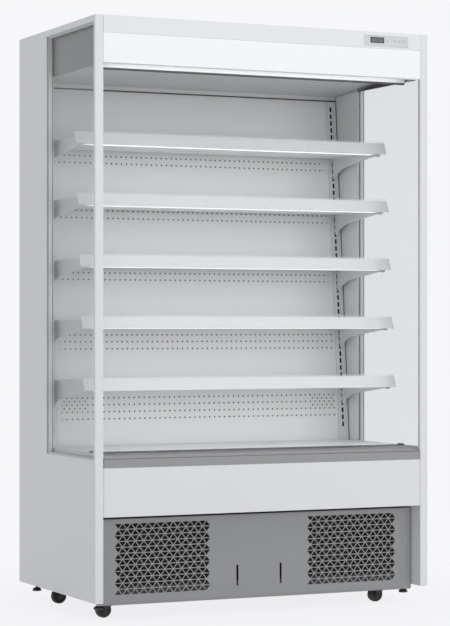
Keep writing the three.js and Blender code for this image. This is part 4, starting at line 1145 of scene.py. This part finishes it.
def makeGrille():
    given = grilleSettings
    sheet = foldedSheet("returnGrille", given["path"], given["sheet"], given["half"])
    roundAlong(sheet, 0, given["bend"], 3)
    (y0, y1), wide, pitch = given["slotY"], given["slotWidth"], given["slotPitch"]
    count = int(2 * given["slotHalf"] / pitch)
    x = -pitch * (count - 1) / 2
    z0, z1 = given["slotCutZ"]
    slot = block("slotCutter", (x - wide / 2, y0, z0), (x + wide / 2, y1, z1))
    drilled(sheet, repeated(slot, count, (pitch, 0, 0)))
    lip = copied(sheet, "grilleLip")  # the front lip is a separate, brighter strip
    out = given["half"] + 0.01
    for part, cut in ((lip, "lipCut"), (sheet, "topCut")):
        (y0, z0), (y1, z1) = given[cut]
        drilled(part, block("cutter", (-out, y0, z0), (out, y1, z1)))
    # the slotted top gets a lighter steel than the front lip of the same sheet: painted light and shade, the top lit
    # from above and the lip in shade
    dress(smooth(sheet), grilleTopLitSteel, "return_grille", replaced=["return_grille"])
    dress(smooth(lip), grilleLipShadedSteel, "return_grille")
    # near-black sheets under the slots: painted shade for the dark duct below the grille
    half = given["guardHalf"]
    guard = [block("grilleShadeSheet", (-half, y0, z0), (half, y1, z1))
             for (y0, z0), (y1, z1) in (given["guard"], given["shadeScreen"])]
    finished(joined("grilleShadeSheet", guard), given["guardEdge"], filterAndShadeBlack, "return_grille")
    (x0, y0, z0), (x1, y1, z1) = given["clip"]
    clips = [roundAlong(block("clip", (way * x0, y0, z0), (way * x1, y1, z1)), 0, given["clipRound"], 3,
                        lambda a, b: a.z > z1 - 0.0002) for way in (-1, 1)]
    dress(smooth(joined("grilleClips", clips)), blackPlastic, "return_grille")


# a lighter copy of the grille steel for the slotted top: painted light
grilleTopLitSteel = metal("grilleTopLitSteel", "stainless", (0.42, 0.423, 0.43), 0.36, (3.0, 600.0, 600.0))
makeGrille()
refined("deck_tray", "deckTray", innerPaint, 0.001, "deck_tray")
refined("bumper_rail", "bumperRail", bumperGrey, 0.0004, segments=1)
refined("lower_front_panel", "lowerFront", whitePaint, 0.0016, segments=3)
print("deck and front made")


# kick panel with its two fields of triangular vents

kickSettings = {
    "half": 0.570,
    "path": [(-0.275, 0.319), (-0.290, 0.319), (-0.290, 0.055), (-0.288, 0.045)],
    "sheet": 0.0015,
    "bend": 0.0014,
    "ventX": 0.1885,  # middle of the innermost vent
    "ventPitch": 0.0147,
    "ventPairs": 11,
    "rowHeight": 0.019,
    "rowPairs": 6,
    "ventBottom": 0.0765,
    "web": 0.0029,
    "slots": [-0.0785, 0.0785],
    "slotCut": (-0.3, -0.28),
    "ventCut": (-0.295, -0.285),
    "slotZ": (0.087, 0.155),
    "slotHalf": 0.0035,
    "filterX": (0.1665, 0.5119),
    "filterY": (-0.2876, -0.2796),
    "filterPast": 0.006,
    "filterEdge": 0.0015,
    "rimY": (-0.2880, -0.2785),
    "rimOut": 0.003,
    "rimWidth": 0.0035,
    "rimEdge": 0.0006,
}


# one vent cutter, with its tip up or down, drawn in by half the web
def ventCutter(x, low, tipUp):
    given = kickSettings
    half, height = given["ventPitch"], given["rowHeight"]
    inRadius = half * height / (half + math.hypot(half, height))
    share = 1 - given["web"] / 2 / inRadius
    up = 1 if tipUp else -1
    middle = low + (inRadius if tipUp else height - inRadius)
    near, far = given["ventCut"]
    points = [(x + up * dx * share, near, middle + up * (dz - inRadius) * share)
              for dx, dz in ((-half, 0), (half, 0), (0, height))]
    return prism("vent", points, (0, far - near, 0))


def ventField(way):
    given = kickSettings
    pitch, height = given["ventPitch"], given["rowHeight"]
    start = given["ventX"] if way > 0 else -given["ventX"] - pitch * (2 * given["ventPairs"] - 1)
    vents = [ventCutter(start + column * pitch, given["ventBottom"] + row * height, (row + column) % 2 == 0)
             for row in (0, 1) for column in (0, 1)]
    field = repeated(joined("ventField", vents), given["ventPairs"], (2 * pitch, 0, 0))
    return repeated(field, given["rowPairs"], (0, 0, 2 * height))


def makeKickPanel():
    given = kickSettings
    panel = foldedSheet("kickPanel", given["path"], given["sheet"], given["half"])
    roundAlong(panel, 0, given["bend"], 3)
    (y0, y1), (z0, z1), half = given["slotCut"], given["slotZ"], given["slotHalf"]
    slots = [roundAlong(block("kickSlot", (x - half, y0, z0), (x + half, y1, z1)), 1, half * 0.6, 4)
             for x in given["slots"]]
    drilled(panel, joined("kickCutter", [ventField(-1), ventField(1)] + slots))
    dress(smooth(panel), kickPaint, "kick_panel", replaced=["kick_panel"])


# black dust filters in a thin frame behind the vents, their near-black partly painted shade for the dark behind the
# vents; they come away with the panel
def makeFilter(side, way):
    given = kickSettings
    x0, x1 = sorted(way * x for x in given["filterX"])
    z0 = given["ventBottom"] - given["filterPast"]
    z1 = given["ventBottom"] + given["rowHeight"] * 2 * given["rowPairs"] + given["filterPast"]
    (y0, y1), (rimFront, rimRear), out = given["filterY"], given["rimY"], given["rimOut"]
    mat = block(f"dustFilter_{side}", (x0, y0, z0), (x1, y1, z1))
    finished(mat, given["filterEdge"], filterAndShadeBlack, "kick_panel")
    rim = ringFrame(f"filterFrame_{side}", (x0 - out, rimFront, z0 - out), (x1 + out, rimRear, z1 + out),
                    given["rimWidth"], axis=1)
    finished(rim, given["rimEdge"], blackPlastic, "kick_panel")


onBothSides(makeFilter)
kickPaint = paint("kickPaint", "grey_paint", (0.315, 0.317, 0.325), 0.36, clouds=0.06)
makeKickPanel()
print("kick panel made")


# castors and levelling feet

castorSettings = {
    "axleX": 0.495,
    "trail": 0.028,
    "places": {"front": -0.225, "rear": 0.175},
    "wheelRadius": 0.025,
    "tyre": [(0.0034, -0.0127), (0.0080, -0.0127), (0.0086, -0.0121), (0.0086, -0.0084), (0.0150, -0.0082),
             (0.0172, -0.0092), (0.0180, -0.0108), (0.0212, -0.0110), (0.0232, -0.0103), (0.0246, -0.0082),
             (0.0250, -0.0055)],
    "boltRadius": 0.0056,
    "boltY": (0.0155, 0.0183),  # from the middle of the wheel
}
footSettings = {
    "x": 0.555,
    "places": {"front": -0.263, "rear": 0.298},
    "pad": [(0, 0.031), (0.0136, 0.031), (0.0148, 0.0318), (0.015, 0.033), (0.015, 0.0365), (0.0142, 0.0380),
            (0.0112, 0.0412), (0.0104, 0.0420), (0.0062, 0.0424)],
    "stemRadius": 0.005,
    "threadLow": 0.0426,
    "threadPitch": 0.00125,
    "threadDepth": 0.0006,
    "stemTop": 0.112,
    "nutZ": (0.0537, 0.0597),
    "nutRadius": 0.0098,
}


def makeCastor(corner):
    given = castorSettings
    depth, side = corner.split("_")
    x, y, z = sides[side] * given["axleX"] - given["trail"], given["places"][depth], given["wheelRadius"]
    refined(f"castor_fork_{corner}", f"castorFork_{corner}", forkSteel, 0.0006, f"castor_{corner}")
    profile = given["tyre"] + [(r, -h) for r, h in reversed(given["tyre"])]
    wheel = turned(f"wheel_{corner}", profile + [profile[0]], (x, y, z), "Y")
    dress(smooth(wheel, 40), blackRubber, f"wheel_{corner}", replaced=[f"castor_wheel_{corner}"])
    near, far = given["boltY"]
    bolts = [roundEdges(rod("bolt", given["boltRadius"], (x, y + hand * near, z), (x, y + hand * far, z), 6), 0.0006)
             for hand in (-1, 1)]
    dress(smooth(joined(f"axleBolts_{corner}", bolts)), boltSteel, f"castor_{corner}")


def makeFoot(corner):
    given = footSettings
    depth, side = corner.split("_")
    x, y = sides[side] * given["x"], given["places"][depth]
    radius, pitch, low, top = (given[key] for key in ("stemRadius", "threadPitch", "threadLow", "stemTop"))
    z0, z1 = given["nutZ"]
    thread = [(radius - (given["threadDepth"] if k % 2 else 0), low + k * pitch / 2)
              for k in range(2 * int((z0 - low) / pitch))]
    stem = [(radius, z0), (radius, top - 0.001), (radius - 0.001, top), (0, top)]
    foot = turned(f"foot_{corner}_pad", given["pad"] + thread + stem, (x, y, 0), steps=32)
    dress(smooth(foot), blackPlastic, f"foot_{corner}", replaced=[f"foot_{corner}"])
    nut = rod(f"footNut_{corner}", given["nutRadius"], (x, y, z0), (x, y, z1), 6)
    finished(nut, 0.0008, boltSteel, f"foot_{corner}")


forkSteel = moulded("forkSteel", "black_plastic", (0.014, 0.014, 0.015), 0.3, dustAmount=0.1, grain=500.0)
boltSteel = metal("boltSteel", "zinc", (0.05, 0.05, 0.052), 0.35, (150.0, 150.0, 150.0))
for corner in corners:
    makeCastor(corner)
    makeFoot(corner)
print("castors and feet made")


# pieces shared by the back and the machinery

# a bent pipe: a line with rounded corners, turned into a curve with a round section
def pipe(name, points, radius, bend, resolution=2):
    polyline(name, points)
    bpy.ops.mesh.bevel(offset=bend, segments=5, affect="VERTICES")
    leaveEdit()
    bpy.ops.object.convert(target="CURVE")
    curve = bpy.context.object.data
    curve.bevel_depth = radius
    curve.bevel_resolution = resolution
    curve.use_fill_caps = True
    bpy.ops.object.convert(target="MESH")
    bpy.context.object.name = name
    return bpy.context.object


screwProfile = [(0, 0.0004), (0.0015, 0.0004), (0.0016, 0.0011), (0.0026, 0.0011), (0.0038, 0.0007), (0.0042, 0),
                (0, 0)]


# socket-head screws, all facing one way along an axis
def screws(name, places, axis, way, material):
    first = turned("screw", [(r, way * h) for r, h in screwProfile], places[0], axis, 14)
    heads = [first] + [copied(first, "screw", Vector(place) - Vector(places[0])) for place in places[1:]]
    dress(smooth(joined(name, heads)), material)


# back wall and roof: the sheets lie a little below the edges of the side walls, and so do the screws

backSettings = {
    "sink": 0.0013,
    "fieldInset": 0.030,
    "fieldDepth": 0.0016,
    "wallY": 0.35,
    "screwX": (-0.558, 0.558),
    "screwZ": [0.345, 0.6, 0.85, 1.1, 1.35, 1.6, 1.846],
    "roofZ": 1.910,
    "roofScrewY": [-0.28, -0.12, 0.04, 0.2, 0.335],
}


def makeBack():
    given = backSettings
    wall = copyOf("rear_wall", "backWall")
    sinkFaces(wall, 1, 1, given["wallY"] - 0.0005, given["sink"])
    bpy.ops.mesh.inset(thickness=given["fieldInset"])
    bpy.ops.mesh.inset(thickness=0.002, depth=-given["fieldDepth"])
    leaveEdit()
    finished(wall, 0.0008, shellPaint, replaced=["rear_wall"])
    y = given["wallY"] - given["sink"]
    screws("wallScrews", [(x, y, z) for x in given["screwX"] for z in given["screwZ"]], "Y", 1, screwZinc)


def makeRoof():
    given = backSettings
    roof = copyOf("roof_panel", "roof")
    sinkFaces(roof, 2, 1, given["roofZ"] - 0.0005, given["sink"])
    leaveEdit()
    finished(roof, canopySettings["roofBend"], greyPaint, replaced=["roof_panel"])
    z = given["roofZ"] - given["sink"]
    screws("roofScrews", [(x, y, z) for x in given["screwX"] for y in given["roofScrewY"]], "Z", 1, screwZinc)


screwZinc = metal("screwZinc", "zinc", (0.42, 0.425, 0.43), 0.32, (200.0, 200.0, 200.0))
makeBack()
makeRoof()
refined("base_tank", "tank", shellPaint, 0.0022, segments=3)
print("back and roof made")


# base frame with the louvred guard at the back

frameSettings = {
    "louvreX": (0.06, 0.48),
    "louvreLow": 0.120,
    "louvrePitch": 0.030,
    "louvreRows": 6,
    "louvreHeight": 0.008,
    "guardY": 0.342,
    "hoodPath": [(-0.001, 0.0022), (0.0008, 0.0020), (0.0052, -0.0068)],
    "hoodSheet": 0.0009,
    "guardScrewX": [-0.56, -0.3, 0.0, 0.3, 0.56],
    "guardScrewZ": [0.108, 0.316],
    "plateScrew": (0.0275, 0.0225),
    "plateLow": 0.057,
}


def makeFrame():
    given = frameSettings
    refined("base_frame", "baseFrame", blackPaint, 0.0006)
    hoods = []
    (x0, x1), y = given["louvreX"], given["guardY"]
    for row in range(given["louvreRows"]):
        top = given["louvreLow"] + row * given["louvrePitch"] + given["louvreHeight"]
        path = [(y + dy, top + dz) for dy, dz in given["hoodPath"]]
        hood = foldedSheet("hood", path, given["hoodSheet"], (x1 - x0) / 2)
        hoods += [copied(hood, "hood", (way * (x0 + x1) / 2, 0, 0)) for way in (-1, 1)]
        bpy.data.objects.remove(hood)
    finished(joined("louvreHoods", hoods), 0.0003, blackPaint, segments=1)
    screws("guardScrews", [(x, y, z) for x in given["guardScrewX"] for z in given["guardScrewZ"]], "Y", 1, boltSteel)
    dx, dy = given["plateScrew"]
    places = [(way * castorSettings["axleX"] + sx * dx, y + sy * dy, given["plateLow"])
              for way in (-1, 1) for y in castorSettings["places"].values() for sx in (-1, 1) for sy in (-1, 1)]
    screws("plateScrews", places, "Z", -1, boltSteel)


makeFrame()
print("base frame made")


# machinery: evaporator in the tank, condensing unit on the base frame

fanSettings = {
    "hubShare": 0.32,
    "hubLength": 0.9,
    "hubWall": 0.0022,
    "hubNose": [(0, -1), (0.55, -1), (0.86, -0.86), (1, -0.45), (1, 1)],  # shares of its radius and half length
    "hubInside": [(0.3, -0.6), (0.3, 0.7), (0, 0.7)],
    "blades": 5,
    "chord": 0.5,
    "pitch": 0.6,
    "lift": 0.004,
    "arch": 0.5,
    "taper": 0.25,
    "twist": -0.3,
    "sheet": 0.0016,
    "rootBite": 0.0025,
    "tipGap": 0.001,
}
motorSettings = {
    "canFront": [(0, 0), (0.3, 0), (0.32, 0.002), (0.86, 0.002), (1, 0.005)],  # share of its radius, distance
    "canRear": [(1, -0.006), (0.82, -0.0005), (0, -0.0005)],
    "armShare": 0.6,
    "armSheet": 0.0018,
    "armBend": 0.0004,
}
evaporatorSettings = {
    "half": 0.45,
    "finHalf": 0.4385,
    "finY": (-0.020, 0.110),
    "z": (0.372, 0.490),
    "finInset": (0.001, 0.003),
    "finPitch": 0.0063,
    "finSheet": 0.0004,
    "tubeRows": [0.386, 0.404, 0.422, 0.440, 0.458, 0.476],
    "tubeY": [0.012, 0.045, 0.078],
    "tubeHalf": 0.444,
    "tubeRadius": 0.0045,
    "tubeBend": 0.0088,
    "sheetFront": -0.1125,
    "endX": (0.4401, 0.4415),
    "endFootX": (0.4285, 0.4403),
    "endFoot": 0.0014,
    "plateY": (-0.114, -0.112),
    "fanX": 0.225,
    "fanZ": 0.431,
    "fanY": -0.113,
    "fanRadius": 0.050,
    "hole": 0.054,
    "motor": {"radius": 0.018, "length": 0.034, "start": 0.0085, "armReach": 0.0565, "armWidth": 0.009,
              "plateY": -0.1125},
    "wire": [(0.225, -0.072, 0.431), (0.225, -0.05, 0.431), (0.16, -0.05, 0.396), (0.02, -0.05, 0.376)],
    "wireRadius": 0.0022,
    "wireBend": 0.012,
}
condenserSettings = {
    "x": (0.192, 0.508),
    "finX": (0.196, 0.504),
    "finY": (-0.272, -0.222),
    "z": (0.063, 0.295),
    "finPitch": 0.0027,
    "finSheet": 0.0003,
    "tubeX": (0.184, 0.522),
    "tubeY": (-0.258, -0.235),
    "tubeLow": 0.081,
    "tubeStep": 0.0245,
    "tubeCount": 9,
    "tubeRadius": 0.0042,
    "tubeBend": 0.0118,
    "endX": (0.1935, 0.5051),
    "endSheet": 0.0014,
    "endRound": 0.003,
    "shroudY": (-0.2218, -0.196),
    "shroudSheet": 0.0014,
    "shroudEdge": 0.0005,
    "fanCentre": (0.35, -0.196, 0.179),
    "fanRadius": 0.098,
    "hole": 0.103,
    "lip": [(0.0022, 0.0002), (0.0004, -0.0004), (-0.0008, -0.003), (-0.0008, -0.014), (0.0002, -0.014),
            (0.0002, -0.0035), (0.0012, -0.0014), (0.0022, -0.0012), (0.0022, 0.0002)],  # out from the hole
    "motor": {"radius": 0.034, "length": 0.046, "start": 0.0155, "armReach": 0.110, "armWidth": 0.014,
              "plateY": -0.1962},
    "guardRings": [0.046, 0.062, 0.078, 0.094, 0.108],
    "guardY": -0.1765,
    "guardWire": 0.0009,
    "guardSpokes": 8,
}
compressorSettings = {
    "place": (-0.33, -0.09),
    "low": 0.063,
    "shell": [(0, 0.0125), (0.045, 0.0125), (0.0600, 0.0165), (0.0700, 0.0250), (0.0760, 0.0370), (0.0778, 0.0480),
              (0.0780, 0.1060), (0.0790, 0.1065), (0.0818, 0.1075), (0.0818, 0.1130), (0.0790, 0.1140),
              (0.0780, 0.1145), (0.0780, 0.1420), (0.0765, 0.1560), (0.0715, 0.1700), (0.0620, 0.1805),
              (0.0480, 0.1865), (0.0250, 0.1895), (0, 0.1900)],
    # all from the middle of the shell's foot
    "plate": ((-0.100, -0.075, 0.012), (0.100, 0.075, 0.016)),
    "plateCorner": 0.012,
    "plateEdge": 0.0008,
    "feet": (0.084, 0.059),
    "footProfile": [(0, 0), (0.0100, 0), (0.0100, 0.0030), (0.0078, 0.0042), (0.0078, 0.0060), (0.0096, 0.0074),
                    (0.0096, 0.0110), (0, 0.0110)],
    "boltRadius": 0.0052,
    "boltZ": (0.0162, 0.0205),
    "box": ((-0.103, -0.024, 0.0654), (-0.072, 0.024, 0.1114)),
    "boxCorner": 0.005,
    "boxEdge": 0.0012,
    "pipes": {
        "suction": [(0.07, 0, 0.14), (0.1, 0, 0.14), (0.1, 0, 0.175)],
        "discharge": [(0, 0.07, 0.076), (0, 0.1, 0.076), (0, 0.1, 0.12)],
    },
    "pipeRadius": 0.0048,
    "pipeBend": 0.012,
}
traySettings = {"low": (-0.480, 0.060, 0.063), "high": (-0.180, 0.260, 0.118), "corner": 0.014, "wall": 0.002}


# axial fan about Y with twisted blades and a shaped hub
def makeBlade(radius, hub):
    given = fanSettings
    reach = radius - hub + given["rootBite"]
    clearSelection()
    bpy.ops.mesh.primitive_grid_add(x_subdivisions=8, y_subdivisions=5, size=1, location=(0, 0, 0))
    bpy.context.object.scale = (reach, radius * given["chord"], 1)
    blade = justAdded("blade")
    selectParts(blade, "FACE", lambda centre, normal: True)
    bpy.ops.transform.translate(value=(0, 0, given["lift"]))
    leaveEdit()
    modify(blade, "SIMPLE_DEFORM", deform_method="BEND", deform_axis="X", angle=given["arch"])
    modify(blade, "SIMPLE_DEFORM", deform_method="TAPER", deform_axis="X", factor=given["taper"])
    modify(blade, "SIMPLE_DEFORM", deform_method="TWIST", deform_axis="X", angle=given["twist"])
    modify(blade, "SOLIDIFY", thickness=given["sheet"], offset=0)
    return placed(blade, (radius - reach / 2 - given["tipGap"], 0, 0), (math.pi / 2 + given["pitch"], 0, 0))


def makeFan(name, node, body, centre, radius):
    given = fanSettings
    hub = radius * given["hubShare"]
    half, inner = hub * given["hubLength"] / 2, hub - given["hubWall"]
    profile = [(hub * r, half * h) for r, h in given["hubNose"]] + [(inner, half), (inner, -half * 0.35)]
    parts = [turned(name, profile + [(hub * r, half * h) for r, h in given["hubInside"]], centre, "Y", 40)]
    blade = makeBlade(radius, hub)
    for i in range(given["blades"]):
        parts.append(placed(copied(blade, "blade"), centre, (0, 2 * math.pi * i / given["blades"], 0)))
    bpy.data.objects.remove(blade)
    dress(smooth(joined(name, parts)), fanPlastic, body, replaced=[node])


# motor behind a fan, with a rounded can and a cross arm of bent strip
def makeMotor(name, centre, motor):
    x, y, z = centre
    given = motorSettings
    radius, length, start, reach, width, plateY = motor.values()
    can = [(radius * share, start + h) for share, h in given["canFront"]]
    can += [(radius * share, start + length + h) for share, h in given["canRear"]]
    dress(smooth(turned(name, can, centre, "Y", 40)), motorPaint)
    armY = y + start + length * given["armShare"]
    outline = sheetOutline([(-reach, plateY), (-reach, armY), (reach, armY), (reach, plateY)], given["armSheet"])
    arms = [prism("arm", [(x + a, b, z - width / 2) for a, b in outline], (0, 0, width)),
            prism("arm", [(x - width / 2, b, z + a) for a, b in outline], (width, 0, 0))]
    finished(joined(name + "_arms", arms), given["armBend"], zincSheet, segments=1)


# round wire guard over a fan
def makeGuard(name, centre):
    given = condenserSettings
    (x, _, z), y, radii, thin = centre, given["guardY"], given["guardRings"], given["guardWire"]
    parts = [ring("guardRing", radius, thin, (x, y, z)) for radius in radii]
    hub = Vector((x, y + 0.0012, z))
    for k in range(given["guardSpokes"]):
        angle = 2 * math.pi * (k + 0.5) / given["guardSpokes"]
        way = Vector((math.cos(angle), 0, math.sin(angle)))
        parts.append(rod("guardWire", thin, hub + way * radii[0], hub + way * radii[-1], 6))
    dress(smooth(joined(name, parts)), blackPaint)


def fins(name, node, low, high, pitch, sheet):
    count = int((high[0] - low[0] - sheet) / pitch) + 1
    fin = roundAlong(block(name, low, (low[0] + sheet, high[1], high[2])), 0, 0.003, 2)
    dress(repeated(fin, count, (pitch, 0, 0)), finAluminium, replaced=[node])


# a pipe that runs to and fro, one row over the other
def coil(x0, x1, y, levels, radius, bend):
    points = []
    for i, z in enumerate(levels):
        ends = [(x0, y, z), (x1, y, z)]
        points += ends if i % 2 == 0 else ends[::-1]
    return pipe("coil", points, radius, bend)


def makeEvaporator():
    given = evaporatorSettings
    half, finHalf = given["half"], given["finHalf"]
    (y0, y1), (z0, z1), front = given["finY"], given["z"], given["sheetFront"]
    dy, dz = given["finInset"]
    fins("evaporatorFins", "evaporator_coil", (-finHalf, y0 + dy, z0 + dz), (finHalf, y1 - dy, z1 - dz),
         given["finPitch"], given["finSheet"])
    tubes = [coil(-given["tubeHalf"], given["tubeHalf"], y, given["tubeRows"], given["tubeRadius"], given["tubeBend"])
             for y in given["tubeY"]]
    dress(smooth(joined("evaporatorTubes", tubes)), copperPipe)
    sheets = []
    for way in (-1, 1):
        (x0, x1), (x2, x3) = given["endX"], given["endFootX"]
        end = block("endSheet", (way * x0, front, z0), (way * x1, y1, z1))
        foot = block("endFoot", (way * x2, front, z0), (way * x3, y1, z0 + given["endFoot"]))
        sheets += [roundAlong(end, 0, 0.004, 3), foot]
    finished(joined("evaporatorEnds", sheets), 0.0003, zincSheet, segments=1)
    plate = block("fanPlate", (-half, given["plateY"][0], z0), (half, given["plateY"][1], z1))
    x, y, z = given["fanX"], given["fanY"], given["fanZ"]
    holes = [rod("hole", given["hole"], (way * x, y - 0.017, z), (way * x, y + 0.013, z), 64) for way in (-1, 1)]
    finished(drilled(plate, joined("fanHoles", holes)), 0.0005, zincSheet)
    for i, way in enumerate((-1, 1), 1):
        node = f"evaporator_fan_{i}"
        makeFan(f"evaporatorFan_{i}", node, node, (way * x, y, z), given["fanRadius"])
        makeMotor(f"evaporatorMotor_{i}", (way * x, y, z), given["motor"])
    wires = [pipe("wire", [(way * a, b, c) for a, b, c in given["wire"]], given["wireRadius"], given["wireBend"])
             for way in (-1, 1)]
    dress(smooth(joined("motorWires", wires)), blackPlastic)


def makeCondenser():
    given = condenserSettings
    (x0, x1), (y0, y1), (z0, z1) = given["x"], given["finY"], given["z"]
    fins("condenserFins", "condenser", (given["finX"][0], y0 + 0.0005, z0 + 0.003),
         (given["finX"][1], y1 - 0.001, z1 - 0.003), given["finPitch"], given["finSheet"])
    levels = [given["tubeLow"] + i * given["tubeStep"] for i in range(given["tubeCount"])]
    tubes = [coil(*given["tubeX"], y, levels, given["tubeRadius"], given["tubeBend"]) for y in given["tubeY"]]
    dress(smooth(joined("condenserTubes", tubes)), copperPipe)
    sheets = [roundAlong(block("endSheet", (x, y0, z0), (x + given["endSheet"], y1, z1)), 0, given["endRound"], 3)
              for x in given["endX"]]
    finished(joined("condenserEnds", sheets), 0.0003, zincSheet, segments=1)
    near, far = given["shroudY"]
    shroud = block("condenserShroud", (x0, near, z0), (x1, far, z1))
    selectParts(shroud, "FACE", lambda centre, normal: normal.y < -0.9)
    bpy.ops.mesh.delete(type="FACE")
    leaveEdit()
    modify(shroud, "SOLIDIFY", thickness=given["shroudSheet"], offset=-1)
    roundEdges(shroud, given["shroudEdge"])
    centre, hole = given["fanCentre"], given["hole"]
    through = Vector((0, 0.02, 0))
    drilled(shroud, rod("hole", hole, Vector(centre) - through, Vector(centre) + through, 96))
    dress(smooth(shroud), blackPaint)
    lip = turned("condenserLip", [(hole + out, along) for out, along in given["lip"]], centre, "Y", 96)
    dress(smooth(lip), blackPaint)
    makeFan("condenserFan", "condenser_fan", "condenser_fan", centre, given["fanRadius"])
    makeMotor("condenserMotor", centre, given["motor"])
    makeGuard("condenserGuard", centre)


def makeCompressor():
    given = compressorSettings
    foot = Vector((*given["place"], given["low"]))
    shell = turned("compressorShell", given["shell"], foot, "Z", 72)
    dress(smooth(shell, 25), motorPaint, replaced=["compressor"])
    low, high = (foot + Vector(point) for point in given["plate"])
    plate = roundAlong(block("compressorPlate", low, high), 2, given["plateCorner"], 5)
    finished(plate, given["plateEdge"], motorPaint)
    mounts, bolts = [], []
    for sx in (-1, 1):
        for sy in (-1, 1):
            place = foot + Vector((sx * given["feet"][0], sy * given["feet"][1], 0))
            z0, z1 = (Vector((0, 0, z)) for z in given["boltZ"])
            mounts.append(turned("mount", given["footProfile"], place, "Z", 24))
            bolts.append(roundEdges(rod("bolt", given["boltRadius"], place + z0, place + z1, 6), 0.0005))
    dress(smooth(joined("compressorMounts", mounts)), blackRubber)
    dress(smooth(joined("compressorBolts", bolts)), boltSteel)
    low, high = (foot + Vector(point) for point in given["box"])
    box = roundAlong(block("terminalBox", low, high), 0, given["boxCorner"], 4)
    finished(box, given["boxEdge"], blackPlastic)
    pipes = [pipe(name, [foot + Vector(point) for point in points], given["pipeRadius"], given["pipeBend"], 3)
             for name, points in given["pipes"].items()]
    dress(smooth(joined("compressorPipes", pipes)), copperPipe)


def makeTray():
    low, high, wall = traySettings["low"], traySettings["high"], traySettings["wall"]
    tray = roundAlong(block("dripTray", low, high), 2, traySettings["corner"], 5)
    selectParts(tray, "FACE", lambda centre, normal: normal.z > 0.9)
    bpy.ops.mesh.inset(thickness=wall)
    bpy.ops.mesh.extrude_region_move(TRANSFORM_OT_translate={"value": (0, 0, wall - (high[2] - low[2]))})
    leaveEdit()
    finished(tray, 0.0007, blackPlastic, replaced=["drip_tray"])


motorPaint = paint("motorPaint", "black_paint", (0.022, 0.023, 0.025), 0.33, clouds=0.15)
fanPlastic = moulded("fanPlastic", "black_plastic", (0.02, 0.02, 0.021), 0.4)
makeEvaporator()
makeCondenser()
makeCompressor()
makeTray()
print("machinery made")
